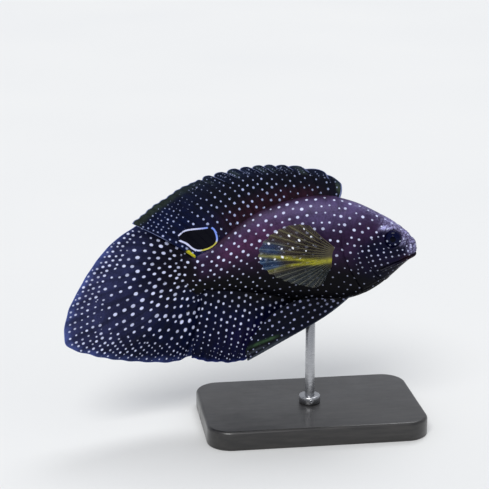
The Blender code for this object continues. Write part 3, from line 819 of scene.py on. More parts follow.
class Finish:
    """What a piece is covered with: a subclass holds its colours and connects its shader."""

    name: str

    def material(self) -> bpy.types.Material:
        """The material, built on its first use.

        Returns:
            The material.
        """
        made = bpy.data.materials.get(self.name)
        if not made:
            made = bpy.data.materials.new(self.name)
            made.use_nodes = True
            nodes = NodeTree(made.node_tree)
            nodes.feed(made.node_tree.nodes["Principled BSDF"], self.inputs(nodes))
        return made

    def inputs(self, nodes: NodeTree) -> dict[str, Socket | float]:
        """Builds the nodes of the look.

        Args:
            nodes: the material's builder.

        Returns:
            The shader's inputs by name.
        """
        raise NotImplementedError


def zoned(nodes: NodeTree, zones: Socket, ground: Socket | Tone, tones: Sequence[Tone]) -> Socket:
    """The ground's colour with three zones' tones laid over it."""
    named = dict(zip(("First", "Second", "Third"), tones))
    return nodes.effect(zone_tones(), {"Zones": zones, "Ground": ground, **named})["Colour"]


def spots(nodes: NodeTree, softness: float) -> tuple[Socket, Socket, Socket]:
    """The spots that lay_spots laid on a piece.

    Args:
        nodes: the material's builder.
        softness: half the width of the spots' edges, in millimetres.

    Returns:
        The spots' mask, each spot's chance from 0 to 1, and their glow.
    """
    place = nodes.attribute("spot_place")
    inputs = {"Place": place, "Form": nodes.attribute("spot_form"), "Radii": nodes.attribute("spot_radii")}
    found = nodes.effect(spot_pattern(), inputs | {"Softness": softness})
    return found["Mask"], found["Chance"], nodes.split(place)[2]


@dataclass(frozen=True)
class SpottedFinish(Finish):
    """Dark skin or fin with rows of pale spots over zones of colour.

    zones and more_zones are the colours of the three numbers in the attributes of the same names.
    """

    name: str
    ground: Tone
    zones: tuple[Tone, Tone, Tone]
    more_zones: tuple[Tone, Tone, Tone] | None = None
    spot: Tone = srgb(214, 220, 252)
    rim: Tone | None = None
    rim_width: float = 0.32
    rim_share: float = 0.8
    streak: Tone | None = None
    streak_share: float = 0.35
    frost: float = 0.0
    frost_scale: float = 1350.0
    frost_range: tuple[float, float] = (0.42, 0.6)
    softness: float = 0.16
    faintest: float = 0.66
    clouds: float = 0.25
    grains: float = 0.18
    cloud_scale: float = 160.0
    grain_scale: float = 1400.0
    roughness: float = 0.42
    roughness_range: float = 0.06
    specular: float = 0.08
    coat: float = 0.02
    coat_roughness: float = 0.2
    relief: float = 0.25
    spot_height: float = 0.6
    streak_height: float = 0.5
    eyespot: Eyespot | None = None

    def skin(self, nodes: NodeTree) -> Socket:
        """The ground's colour with all its zones, the second of more_zones frosted.

        Args:
            nodes: the material's builder.

        Returns:
            The colour.
        """
        colour = zoned(nodes, nodes.attribute("zones"), self.ground, self.zones)
        if not self.more_zones:
            return colour
        zones = nodes.attribute("more_zones")
        if self.frost:
            first, pale, last = nodes.split(zones)
            grains = nodes.noise(nodes.here(), self.frost_scale)
            grains = nodes.ramp(grains, *self.frost_range, 1 - self.frost, 1 + self.frost)
            zones = nodes.join(first, nodes.times(pale, grains), last)
        return zoned(nodes, zones, colour, self.more_zones)

    def inputs(self, nodes: NodeTree) -> dict[str, Socket | float]:
        """Lays the skin's cells, the ray lines, the spots, the rim and the eyespot over each other."""
        mixed = {"Colour": self.skin(nodes), "Clouds": self.clouds, "Grains": self.grains}
        mixed |= {"Cloud Scale": self.cloud_scale, "Grain Scale": self.grain_scale}
        cells = nodes.effect(mottle(), mixed)
        colour, height = cells["Colour"], cells["Height"]
        if self.streak:
            lines = nodes.effect(ray_streaks(), {"Place": nodes.attribute("fin_rays")})
            colour = nodes.mix(nodes.times(lines["Mask"], self.streak_share), colour, self.streak)
            height = nodes.math("MULTIPLY_ADD", lines["Height"], self.streak_height, height)
        spot, chance, glow = spots(nodes, self.softness)
        mask = nodes.times(spot, nodes.times(glow, nodes.ramp(chance, 0.0, 1.0, self.faintest)))
        if self.eyespot:
            eye = nodes.effect(self.eyespot.effect(), {"Place": nodes.attribute("eyespot_place")})
            mask = nodes.times(mask, eye["Clear"])
        colour = nodes.mix(mask, colour, self.spot)
        if self.rim:
            edge = nodes.split(nodes.attribute("fin_rays"))[2]
            margin = nodes.ramp(edge, self.rim_width * 0.5, self.rim_width, self.rim_share, 0.0)
            colour = nodes.mix(margin, colour, self.rim)
        if self.eyespot:
            colour = nodes.mix(eye["Blot"], colour, self.eyespot.black)
            colour = nodes.mix(eye["Ring"], colour, eye["Colour"])
        height = nodes.math("MULTIPLY_ADD", spot, self.spot_height, height)
        smooth, rough = self.roughness - self.roughness_range, self.roughness + self.roughness_range
        return {
            "Base Color": colour,
            "Roughness": nodes.ramp(cells["Clouds"], -self.clouds, self.clouds, smooth, rough),
            "Normal": nodes.relief(height, self.relief),
            "Specular IOR Level": self.specular,
            "Coat Weight": self.coat,
            "Coat Roughness": self.coat_roughness,
        }


@dataclass(frozen=True)
class PectoralFinish(Finish):
    """A clear fin with tinted zones between pale rays and a few white spots."""

    name: str = "pectoral_fin"
    olive: Tone = srgb(64, 58, 40)
    yellow: Tone = srgb(184, 180, 44)
    blue: Tone = srgb(24, 68, 112)
    grey: Tone = srgb(34, 42, 46)
    brown: Tone = srgb(24, 17, 16)
    ray: Tone = srgb(128, 124, 94)
    spot: Tone = srgb(236, 240, 250)
    ray_share: float = 0.3
    softness: float = 0.16
    clearest: float = 0.5
    clouds: float = 0.3
    grains: float = 0.06
    cloud_scale: float = 300.0
    grain_scale: float = 900.0
    roughness: tuple[float, float] = (0.35, 0.48)
    specular: float = 0.3
    relief: float = 0.25

    def inputs(self, nodes: NodeTree) -> dict[str, Socket | float]:
        """Tints the membrane, lays the rays and spots over it and clears it between them."""
        colour = zoned(nodes, nodes.attribute("zones"), self.olive, (self.blue, self.grey, self.yellow))
        streak, ray, _ = nodes.split(nodes.attribute("more_zones"))
        colour = nodes.mix(streak, colour, self.brown)
        mixed = {"Colour": colour, "Clouds": self.clouds, "Grains": self.grains}
        mixed |= {"Cloud Scale": self.cloud_scale, "Grain Scale": self.grain_scale}
        cells = nodes.effect(mottle(), mixed)
        colour = nodes.mix(ray, cells["Colour"], nodes.mix(self.ray_share, cells["Colour"], self.ray))
        spot, _, glow = spots(nodes, self.softness)
        mask = nodes.times(spot, glow)
        firm = nodes.split(nodes.attribute("fin_rays"))[2]
        firm = nodes.math("MAXIMUM", nodes.math("MAXIMUM", mask, ray), firm)
        return {
            "Base Color": nodes.mix(mask, colour, self.spot),
            "Alpha": nodes.ramp(firm, 0.0, 1.0, self.clearest),
            "Roughness": nodes.ramp(cells["Height"], *NOISE_RANGE, *self.roughness),
            "Normal": nodes.relief(cells["Height"], self.relief),
            "Specular IOR Level": self.specular,
        }


@dataclass(frozen=True)
class EyeFinish(Finish):
    """A dark, wet eye: a black pupil in a thin blue ring, a navy iris and white spots."""

    name: str = "fish_eye"
    pupil: Tone = srgb(0, 1, 14)
    iris: Tone = srgb(3, 4, 24)
    ring: Tone = srgb(10, 16, 56)
    edge: Tone = srgb(22, 20, 48)
    spot: Tone = srgb(214, 222, 250)
    pupil_edge: tuple[float, float] = (1.2, 1.38)
    ring_edge: tuple[float, float] = (1.3, 1.55)
    iris_edge: tuple[float, float] = (2.7, 3.3)
    fibre_scale: float = 3.5
    softness: float = 0.12
    spot_start: tuple[float, float] = (1.5, 1.9)
    spot_share: float = 0.6
    roughness: tuple[float, float] = (0.1, 0.2)
    specular: float = 0.05
    coat: float = 0.05
    coat_roughness: float = 0.03

    def inputs(self, nodes: NodeTree) -> dict[str, Socket | float]:
        """Draws the iris's fibres, the ring, the pupil and the spots."""
        across, up, radius = nodes.split(nodes.attribute("eye_place"))
        fibres = nodes.noise(nodes.join(across, up, 0.0), self.fibre_scale, 4.0)
        colour = nodes.mix(nodes.ramp(fibres, 0.35, 0.7), self.iris, self.ring)
        colour = nodes.mix(nodes.ramp(radius, *self.ring_edge, 1.0, 0.0), colour, self.ring)
        colour = nodes.mix(nodes.ramp(radius, *self.pupil_edge, 1.0, 0.0), colour, self.pupil)
        colour = nodes.mix(nodes.ramp(radius, *self.iris_edge), colour, self.edge)
        outside = nodes.ramp(radius, *self.spot_start, 0.0, self.spot_share)
        mask = nodes.times(spots(nodes, self.softness)[0], outside)
        return {
            "Base Color": nodes.mix(mask, colour, self.spot),
            "Roughness": nodes.ramp(fibres, 0.2, 0.8, *self.roughness),
            "Specular IOR Level": self.specular,
            "Coat Weight": self.coat,
            "Coat Roughness": self.coat_roughness,
        }


@dataclass(frozen=True)
class SatinFinish(Finish):
    """Black satin lacquer on the base, with a fine grain along it and dust that dulls it in places."""

    name: str = "base_lacquer"
    dark: Tone = srgb(26, 25, 25)
    pale: Tone = srgb(44, 42, 41)
    grain_scales: tuple[float, float, float] = (90.0, 700.0, 700.0)
    dust_scale: float = 60.0
    roughness: tuple[float, float] = (0.3, 0.46)
    relief: float = 0.2
    coat: float = 0.3
    coat_roughness: float = 0.2

    def inputs(self, nodes: NodeTree) -> dict[str, Socket | float]:
        """Draws the grain out along the base and spreads the dust."""
        here = nodes.here()
        grain = nodes.noise(nodes.vector("MULTIPLY", here, self.grain_scales), 1.0, 4.0)
        dust = nodes.noise(here, self.dust_scale, 5.0)
        return {
            "Base Color": nodes.mix(nodes.ramp(grain, 0.3, 0.75), self.dark, self.pale),
            "Roughness": nodes.ramp(dust, *NOISE_RANGE, *self.roughness),
            "Normal": nodes.relief(grain, self.relief),
            "Coat Weight": self.coat,
            "Coat Roughness": self.coat_roughness,
        }


@dataclass(frozen=True)
class SteelFinish(Finish):
    """Brushed steel, with its brush lines running round the rod."""

    name: str = "brushed_steel"
    tone: Tone = srgb(196, 197, 200)
    worn: Tone = srgb(150, 151, 155)
    brush_scales: tuple[float, float, float] = (250.0, 250.0, 5200.0)
    roughness: tuple[float, float] = (0.2, 0.38)
    relief: tuple[float, float] = (0.15, 0.00005)

    def inputs(self, nodes: NodeTree) -> dict[str, Socket | float]:
        """Flattens a noise into brush lines."""
        lines = nodes.noise(nodes.vector("MULTIPLY", nodes.here(), self.brush_scales), 1.0)
        return {
            "Base Color": nodes.mix(lines, self.tone, self.worn),
            "Roughness": nodes.ramp(lines, 0.25, 0.75, *self.roughness),
            "Normal": nodes.relief(lines, *self.relief),
            "Metallic": 1.0,
        }


@dataclass(frozen=True)
class FloorFinish(Finish):
    """The pale studio floor."""

    name: str = "studio_floor"
    pale: Tone = srgb(226, 226, 224)
    shade: Tone = srgb(218, 219, 219)
    cloud_scale: float = 3.0
    roughness: float = 0.8

    def inputs(self, nodes: NodeTree) -> dict[str, Socket | float]:
        """Clouds the floor faintly."""
        cloud = nodes.noise(nodes.here(), self.cloud_scale, 2.0, 0.5)
        return {"Base Color": nodes.mix(cloud, self.pale, self.shade), "Roughness": self.roughness}


def dress(
    piece: bpy.types.Object, material: bpy.types.Material, slot: str, replaced: Iterable[str] = ()
) -> None:
    """Gives a piece its material, its body and the solids it stands for, and reports it.

    Args:
        piece: the piece.
        material: its only material.
        slot: not used.
        replaced: the solids' nodes that it stands for.
    """
    piece.data.materials.clear()
    piece.data.materials.append(material)
    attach(piece, BODY)
    nodes = tuple(replaced)
    if nodes:
        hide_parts(*nodes)
    piece.data.calc_loop_triangles()
    LOG.info("%s: %d triangles", piece.name, len(piece.data.loop_triangles))


@dataclass
class SkinPlaces:
    """The points of the skin before its folds are raised.

    s and angle are their stations and their angles from the back, and flat holds the flat points. arc is the
    way round the body from the back, and below is the way on from there to the middle of the belly.
    """

    s: Array
    angle: Array
    flat: Array
    arc: Array
    below: Array

    @property
    def z(self) -> Array:
        """Heights of the points."""
        return self.flat[..., 2]


@dataclass
class BodySkin:
    """One skin from the snout to the tail stalk's end, with the head's folds and the scales raised in it.

    Tables give a value at stations. Lengths, and the heights and depths of the folds, are in millimetres.
    """

    around: int = 264
    head_step: float = 0.23
    body_step: float = 0.36
    head_end: float = 32.0
    snout_length: float = 2.6
    snout_blunt: float = 0.6
    stalk_overlap: float = 6.5
    stalk_draw: float = 0.55
    stalk_edge: float = 0.32
    stalk_spread: float = 1.4
    stalk_rings: int = 24
    mouth_front: tuple[float, float] = (-3.0, -0.1)
    mouth_corner: tuple[float, float] = (17.0, -8.4)
    mouth_length: float = 19.6
    mouth_depth: float = 0.8
    lip_away: float = 0.85
    lip_width: float = 0.5
    upper_lip: float = 0.42
    lower_lip: float = 0.45
    jaw_plate: float = 0.4
    jaw_crease: float = 0.25
    orbit_rim: float = 0.42
    orbit_fold: float = 0.16
    orbit_depth: float = 1.3
    snout_fold: float = 0.26
    snout_groove: float = 0.3
    nostrils: tuple = ((3.4, 5.2, 0.5), (4.9, 6.9, 0.45))
    nostril_rim: float = 0.24
    nostril_depth: float = 0.6
    cover_rise: float = 0.55
    cover_length: float = 7.0
    cover_groove: float = 0.35
    cheek_edge: float = 21.0
    cheek_rise: float = 0.3
    cheek_groove: float = 0.12
    throat_rise: float = 0.13
    line_rise: float = 0.14
    line_share: float = 0.24
    dorsal_ridge: float = 0.5
    anal_ridge: float = 0.4
    pectoral_root: float = 0.75
    pectoral_place: tuple[float, float] = (33.9, -1.4)
    pectoral_size: tuple[float, float] = (1.9, 4.6)
    scale_length: float = 1.5
    scale_width: float = 1.2
    scale_rise: float = 0.075
    spot_rows: float = 3.1
    # back_edge and belly_edge set where the lilac back, partly painted top light, and the dark belly, partly
    # painted shade, begin; belly_fade is how wide the belly fades.
    back_edge: tuple = ((0, 20, 32, 60, 91), (0.86, 0.8, 0.66, 0.7, 0.8))
    belly_edge: tuple = ((0, 12, 22, 35, 55, 72, 91), (0.2, 0.34, 0.42, 0.44, 0.42, 0.38, 0.4))
    belly_fade: tuple = ((0, 50, 75), (0.34, 0.4, 0.55))
    spot_gap: tuple = ((0, 12, 30, 60, 91), (2.8, 3.3, 3.6, 3.5, 3.4))
    spot_spread: tuple = ((0, 12, 35, 60, 91), (0.9, 1.12, 1.08, 1.0, 0.86))
    spot_radius: tuple = ((0, 14, 40, 70, 91), (0.35, 0.42, 0.49, 0.46, 0.44))

    def stations(self) -> Array:
        """The rings' stations, closer on the head.

        Returns:
            The stations in millimetres.
        """
        end = SHAPE.stations[-1]
        head = np.arange(SHAPE.stations[0], self.head_end, self.head_step)
        trunk = np.arange(self.head_end, end, self.body_step)
        share = np.linspace(0, 1, self.stalk_rings)[1:] ** 0.9
        return np.concatenate([head, trunk, end + self.stalk_overlap * share])

    def rings(self, s: Array, angle: Array) -> Array:
        """Flat points of the plain body, rounded at the snout and closed to an edge over the tail fin's root.

        Args:
            s: the rings' stations.
            angle: angles from the back.

        Returns:
            (..., 3) of s, y and z.
        """
        flat = SHAPE.ring(s, angle)
        end = SHAPE.stations[-1]
        past = ((s - end) / self.stalk_overlap).clip(0, 1)
        high = np.cos(angle)
        flat[..., 0] -= (s - end).clip(0) * self.stalk_draw * np.abs(high) ** 3
        flat[..., 1] *= 0.8 * (1 - smoothstep(past)) + 0.2 * (1 - past)
        flat[..., 1] -= self.stalk_edge * np.sin(angle) * smoothstep(past * 3)
        flat[..., 2] += self.stalk_spread * high * past
        flat[..., 1] += CaudalFin().aside(flat[..., 0])
        ahead = 1 - ((s - SHAPE.stations[0]) / self.snout_length).clip(0, 1)
        flat[..., 0] += ahead**3
        middle = (SHAPE.back(s) + SHAPE.belly(s)) / 2
        round_off = self.snout_blunt + (1 - self.snout_blunt) * np.sqrt(1 - ahead**2)
        flat[..., 1] *= round_off
        flat[..., 2] = middle + (flat[..., 2] - middle) * round_off
        return flat

    def along_mouth(self, at: SkinPlaces) -> tuple[Array, Array]:
        """Way along the mouth from its front, and height over its line.

        Args:
            at: the places.

        Returns:
            The two, in millimetres.
        """
        start, corner = np.array(self.mouth_front), np.array(self.mouth_corner)
        ahead = (corner - start) / np.linalg.norm(corner - start)
        run = (at.s - start[0]) * ahead[0] + (at.z - start[1]) * ahead[1]
        return run, -(at.s - start[0]) * ahead[1] + (at.z - start[1]) * ahead[0]

    def from_eye(self, at: SkinPlaces) -> Array:
        """Distance from the eyeball's edge, less than 0 inside it."""
        return np.hypot(at.s - EYE_STATION, at.z - EYE_HEIGHT) - EYE_RADIUS

    def mouth(self, at: SkinPlaces) -> Array:
        """The lips, the groove between them, the upper jaw's plate and the crease behind it.

        Args:
            at: the places.

        Returns:
            A height at each place.
        """
        run, over = self.along_mouth(at)
        closed = fall(run, self.mouth_length - 1.0, 1.6)
        groove = -self.mouth_depth * hill(over, 0.3) * closed
        upper = self.upper_lip * hill(over - self.lip_away, self.lip_width) * fall(run, 11, 4)
        lower = self.lower_lip * hill(over + self.lip_away, self.lip_width) * closed
        share = ((run - 8) / 12).clip(0, 1)
        middle, half = 1.25 + share, 0.75 + 1.1 * share
        across = np.abs(over - middle) / half
        plate = self.jaw_plate * rise((1 - across) * half, 0, 0.4) * rise(run, 6, 4)
        plate = plate * fall(run + 0.9 * across**2, 21.0, 0.4)
        crease = hill(np.hypot((run - 20.8) * 1.2, over + 3.0) - 2.6, 0.4) * rise(run, 19, 1.5)
        return groove + upper + lower + plate - self.jaw_crease * crease

    def orbit(self, at: SkinPlaces) -> Array:
        """The rim round the eye, the fold outside it and the hollow under the eyeball.

        Args:
            at: the places.

        Returns:
            A height at each place.
        """
        away = self.from_eye(at)
        raised = self.orbit_rim * hill(away - 0.5, 0.42) - self.orbit_fold * hill(away - 1.5, 0.35)
        return raised - self.orbit_depth * fall(away, -0.3, 0.35)

    def nose(self, at: SkinPlaces) -> Array:
        """The nostrils' rims and pits, the upper lip and the groove behind it.

        Args:
            at: the places.

        Returns:
            A height at each place.
        """
        s, z = at.s, at.z
        total = self.snout_fold * hill(s - 0.9, 0.9) * rise(z, -1.0, 1.5)
        total = total - self.snout_groove * hill(s - 2.7, 0.5) * rise(z, 0.5, 1.5)
        for station, height, radius in self.nostrils:
            away = np.hypot(s - station, z - height)
            total = total + self.nostril_rim * hill(away - radius - 0.25, 0.24)
            total = total - self.nostril_depth * hill(away, radius * 0.75)
        return total

    def covers(self, at: SkinPlaces) -> Array:
        """The gill cover, the cheek's edge and the throat's rays.

        Args:
            at: the places.

        Returns:
            A height at each place.
        """
        s, z, angle = at.s, at.z, at.angle
        ahead = SHAPE.gill_line(angle) - s
        cover = self.cover_rise * fall(ahead, 0, self.cover_length) * rise(ahead, -0.4, 0.4)
        cover = (cover - self.cover_groove * hill(ahead + 0.65, 0.4)) * np.sin(angle) ** 2
        cover = cover * (0.25 + 0.75 * fall(z, 2, 9))
        before = self.cheek_edge - 0.035 * np.maximum(2 - z, 0) ** 2 - 0.012 * np.maximum(z - 2, 0) ** 2 - s
        cheek = self.cheek_rise * fall(before, 0, 5) * rise(before, -0.35, 0.35)
        cheek = (cheek - self.cheek_groove * hill(before + 0.6, 0.4)) * rise(z, -15, 3) * fall(z, 9, 3)
        throat = fall(np.cos(angle), -0.85, 0.25) * rise(s, 11, 4) * rise(ahead, -0.5, 2)
        rays = np.sin(TURN * (np.abs(angle) * 5.2 + 0.02 * s))
        return cover + cheek + self.throat_rise * rays * throat

    def scales(self, at: SkinPlaces) -> Array:
        """The overlapping scales behind the gill covers, each row shifted by half a scale.

        Args:
            at: the places.

        Returns:
            A height at each place.
        """
        row = at.arc / self.scale_width
        place = at.s / self.scale_length + 0.5 * (np.floor(row) % 2) + 0.3 * (2 * (row % 1) - 1) ** 2
        behind = rise(at.s - SHAPE.gill_line(at.angle), 1.0, 1.5) * fall(at.s, SHAPE.stations[-1] - 3, 3)
        return self.scale_rise * ((place % 1) ** 1.3 - 0.5) * behind

    def lateral_line(self, at: SkinPlaces) -> Array:
        """The pored line that follows the back.

        Args:
            at: the places.

        Returns:
            A height at each place.
        """
        top, bottom = SHAPE.back(at.s), SHAPE.belly(at.s)
        beads = 0.65 + 0.35 * np.sin(TURN * at.s / self.scale_length)
        line = hill(at.z - top + self.line_share * (top - bottom), 0.3)
        return self.line_rise * line * beads * rise(at.s, 31, 2)

    def fin_roots(self, at: SkinPlaces) -> Array:
        """The scaled ridges under the dorsal and anal fins and the pectorals' fleshy roots.

        Args:
            at: the places.

        Returns:
            A height at each place.
        """
        s, z = at.s, at.z
        dorsal = self.dorsal_ridge * hill(at.arc, 1.7) * rise(s, 30.5, 2) * fall(s, 89, 2)
        anal = self.anal_ridge * hill(at.below, 1.5) * rise(s, 56.5, 2) * fall(s, 88, 2)
        parts = zip((s, z), self.pectoral_place, self.pectoral_size)
        along, over = ((place - middle) / size for place, middle, size in parts)
        return dorsal + anal + self.pectoral_root * np.exp(-(along**2) - over**4)

    def surface(self) -> Surface:
        """The skin's grid with its pattern, whose last column lies on the first, under the belly.

        Returns:
            The grid, a row for each station.
        """
        s = self.stations()[:, None]
        angle = np.linspace(-math.pi, math.pi, self.around + 1)[None, :]
        flat = self.rings(s, angle)
        s, angle = np.broadcast_arrays(s, angle)
        plain = Surface(flat)
        run = plain.steps(1)
        arc = run - run[:, [self.around // 2]]
        at = SkinPlaces(s, angle, flat, arc, run[:, [-1]] / 2 - np.abs(arc))
        features = (self.mouth, self.orbit, self.nose, self.covers)
        features += (self.scales, self.lateral_line, self.fin_roots)
        raised = sum(feature(at) for feature in features) * rise(s, SHAPE.stations[0], 1.2)
        normals = plain.normals()
        normals *= np.sign((normals * (flat - flat.mean(1, keepdims=True))).sum(-1, keepdims=True))
        surface = Surface(BACKBONE.place(flat + normals * raised[..., None]))
        surface.points[:, -1] = surface.points[:, 0]
        self.paint(surface, at)
        return surface

    def paint(self, surface: Surface, at: SkinPlaces) -> None:
        """Stores the colour zones, painted top light and shade among them, and the spots' lattice.

        Args:
            surface: the skin's grid.
            at: its places.
        """
        s, z = at.s, at.z
        top, bottom = SHAPE.back(s), SHAPE.belly(s)
        high = (z - bottom) / (top - bottom)
        # The back zone is the skin's own lilac back, lightened further as painted top light.
        back = rise(high, through(*self.back_edge, s), 0.24) * (1 - 0.5 * rise(s, 55, 30))
        # The belly zone is the fish's own dark underside, deepened as painted shade under the body.
        belly = fall(high, through(*self.belly_edge, s) - 0.18, through(*self.belly_fade, s))
        warm = rise(s, 42, 22) * hill(high - 0.74, 0.2) * fall(s, 76, 12)
        # The third zone is the belly's dark with its painted shade, and black over the stalk's end.
        surface.mark("zones", back, 0.65 * warm, np.maximum(belly, 0.9 * rise(s, 87, 7)))

        away = self.from_eye(at)
        cheek = fall(np.hypot((s - 13) / 17, (z + 3.0) / 12.5), 0.5, 0.5)
        cheek = np.maximum(cheek, 0.85 * fall(np.hypot(s - 11.5, (z - 4.6) * 1.15), 4.5, 2.0))
        # The brow is a painted highlight on the top of the head. It is laid into the pale zone beside the
        # pale marks of the snout, the crescent before the eye and the patch above it.
        brow_highlight = fall(top - z, 0, 4.5) * fall(s, 11, 8)
        brow_highlight = np.maximum(brow_highlight, 0.6 * fall(top - z, 0, 2.2) * fall(s, 19, 10))
        snout = fall(s, 1.8, 3.2) * rise(z, -2.2, 2)
        front = fall(s - 0.8 * (z - EYE_HEIGHT), EYE_STATION - 2, 3)
        crescent = hill(away - 1.0, 1.1) * front * rise(z, 0.5, 3)
        patch = blot((s - 12.9 + 0.6 * (z - 9.8)) / 1.5, (z - 9.8) / 0.9)
        pale = np.maximum.reduce([0.36 * brow_highlight, 0.42 * snout, 0.42 * crescent, patch])
        lip = blot((s - 3.6) / 2.4, (z + 3.2) / 1.7)
        ridge = hill(at.arc, 2.7) * rise(s, 31, 6) * fall(s, 78, 10)
        surface.mark("more_zones", cheek * (1 - 0.5 * belly), pale, np.maximum(0.8 * lip, 0.85 * ridge))

        gap = through(*self.spot_gap, s[:, 0])
        along = np.interp(at.flat[..., 0], s[:, 0], np.cumsum(np.gradient(s[:, 0]) / gap))
        rows = at.arc / (self.spot_rows * through(*self.spot_spread, s))
        clear = rise(at.below, 0.7, 0.4) * (away > 0.5)
        small = rise(cheek, 0.45, 0.12)
        main = through(*self.spot_radius, s) * (1 - 0.4 * belly) * (1 - small) * clear
        between = (0.31 - 0.06 * belly) * small * clear
        # The spots are dimmed in the belly zone, painted shade on them.
        glow = (1 - 0.55 * belly * (1 - 0.9 * rise(s, 58, 18))) * (1 - 0.18 * small)
        surface.lay_spots(along, rows, (main, between, 0.0), glow)

    def build(self) -> bpy.types.Object:
        """The closed skin, with its seam under the belly and its ends drawn to a point.

        Returns:
            The skin's object.
        """
        surface = self.surface()
        rings, points = len(surface.points), surface.points
        ends = [points[0].mean(0) + [0.12, 0, 0], points[-1].mean(0)]
        points = np.concatenate([points[:, :-1].reshape(-1, 3), ends])
        values = {}
        for key, grid in surface.values.items():
            values[key] = np.concatenate([grid[:, :-1].reshape(-1, 3), [grid[0].mean(0), grid[-1].mean(0)]])

        down, across = np.linspace(0.02, 0.98, rings), np.linspace(0.01, 0.99, self.around + 1)
        place = np.stack(np.meshgrid(down, across, indexing="ij"), -1)
        parts = [squares(place)]
        for first, last, tip in ((place[0, :-1], place[0, 1:], -0.01), (place[-1, 1:], place[-1, :-1], 0.01)):
            parts.append(np.stack([first, last, (first + last) / 2 + [tip, 0]], 1))
        corners = np.concatenate([part.reshape(-1, 2) for part in parts])
        return make_mesh("body_skin", points, ringed_faces(rings, self.around), values, corners)


@dataclass
class Eye:
    """An eyeball with its lens bulge, set in the skin's orbit.

    groove is how deep the groove round the lens is, how far out it runs and how wide it is.
    """

    side: int
    station: float = EYE_STATION
    height: float = EYE_HEIGHT
    offset: float = 4.2
    radius: float = EYE_RADIUS
    depth: float = 1.9
    bulge: float = 0.14
    bulge_width: float = 1.15
    groove: tuple[float, float, float] = (0.1, 1.65, 0.35)
    back: float = -0.2
    around: int = 80
    rows: int = 48
    spot_gap: float = 2.2
    spot_radius: float = 0.34
    spot_turn: float = math.radians(25)
    spot_shift: tuple[float, float] = (0.16, 0.29)

    def build(self, name: str) -> bpy.types.Object:
        """The closed eyeball, with its poles on the fish's side axis.

        Args:
            name: the piece's name.

        Returns:
            The eyeball's object.
        """
        tilt = np.linspace(0, math.pi, self.rows + 1)[1:-1, None]
        turn = np.linspace(0, TURN, self.around, endpoint=False)[None, :]
        away = self.radius * np.sin(tilt) + 0 * turn
        out = self.depth * np.cos(tilt)
        deep, apart, wide = self.groove
        lens = self.bulge * hill(away, self.bulge_width) - deep * hill(away - apart, wide)
        out = out + (out > 0) * lens * np.minimum(1, out)
        ball = np.stack([away * np.cos(turn), out, away * np.sin(turn)], -1).reshape(-1, 3)
        ball = np.concatenate([ball, [[0, self.depth + self.bulge, 0], [0, -self.depth, 0]]])
        ahead, out, above = ball.T
        away = np.hypot(ahead, above)
        blank = 0 * away
        size = blank + self.spot_gap**2
        cosine, sine = math.cos(self.spot_turn), math.sin(self.spot_turn)
        along = (ahead * cosine - above * sine) / self.spot_gap - self.spot_shift[0]
        rows = (ahead * sine + above * cosine) / self.spot_gap - self.spot_shift[1]
        values = {
            "eye_place": np.stack([ahead, above, np.where(out > self.back, away, self.radius)], -1),
            "spot_place": np.stack([along, rows, blank + 1], -1),
            "spot_form": np.stack([size, blank, size], -1),
            "spot_radii": np.stack([self.spot_radius * fall(above, 0.1, 0.8), blank, blank], -1),
        }
        flat = np.stack([self.station + ahead, -self.side * (self.offset + out), self.height + above], -1)
        return make_mesh(name, BACKBONE.place(flat), ringed_faces(self.rows - 1, self.around), values)


def beam_tree() -> bpy.types.NodeTree:
    """Geometry nodes that turn each run of edges into a tapered round beam with closed ends.

    Returns:
        The tree.
    """
    found = bpy.data.node_groups.get("ray_beams")
    if found:
        return found
    tree = bpy.data.node_groups.new("ray_beams", "GeometryNodeTree")
    sockets = {"Paths": "Geometry", "Sides": "Int", "Thickness": "Float", "Finish": "Material"}
    for word, kind in sockets.items():
        tree.interface.new_socket(word, in_out="INPUT", socket_type=f"NodeSocket{kind}")
    tree.interface.new_socket("Beams", in_out="OUTPUT", socket_type="NodeSocketGeometry")
    nodes = NodeTree(tree)
    given = nodes.add("NodeGroupInput").outputs
    curves = nodes.add("GeometryNodeMeshToCurve", {"Mesh": given["Paths"]}).outputs[0]
    stored = nodes.add("GeometryNodeInputNamedAttribute", {"Name": "beam_radius"}, data_type="FLOAT")
    radius = nodes.times(stored.outputs[0], given["Thickness"])
    inputs = {"Resolution": given["Sides"], "Radius": 1.0}
    ring = nodes.add("GeometryNodeCurvePrimitiveCircle", inputs).outputs[0]
    inputs = {"Curve": curves, "Profile Curve": ring, "Scale": radius, "Fill Caps": True}
    beams = nodes.add("GeometryNodeCurveToMesh", inputs).outputs[0]
    beams = nodes.add("GeometryNodeSetShadeSmooth", {"Geometry": beams}).outputs[0]
    beams = nodes.add("GeometryNodeRealizeInstances", {"Geometry": beams}).outputs[0]
    beams = nodes.add("GeometryNodeSetMaterial", {"Geometry": beams, "Material": given["Finish"]}).outputs[0]
    nodes.add("NodeGroupOutput", [beams])
    return tree


@dataclass
class Beam:
    """One fin ray: its places on the fin's grid from root to tip, and its radius at each in millimetres."""

    u: Array
    t: Array
    radius: Array


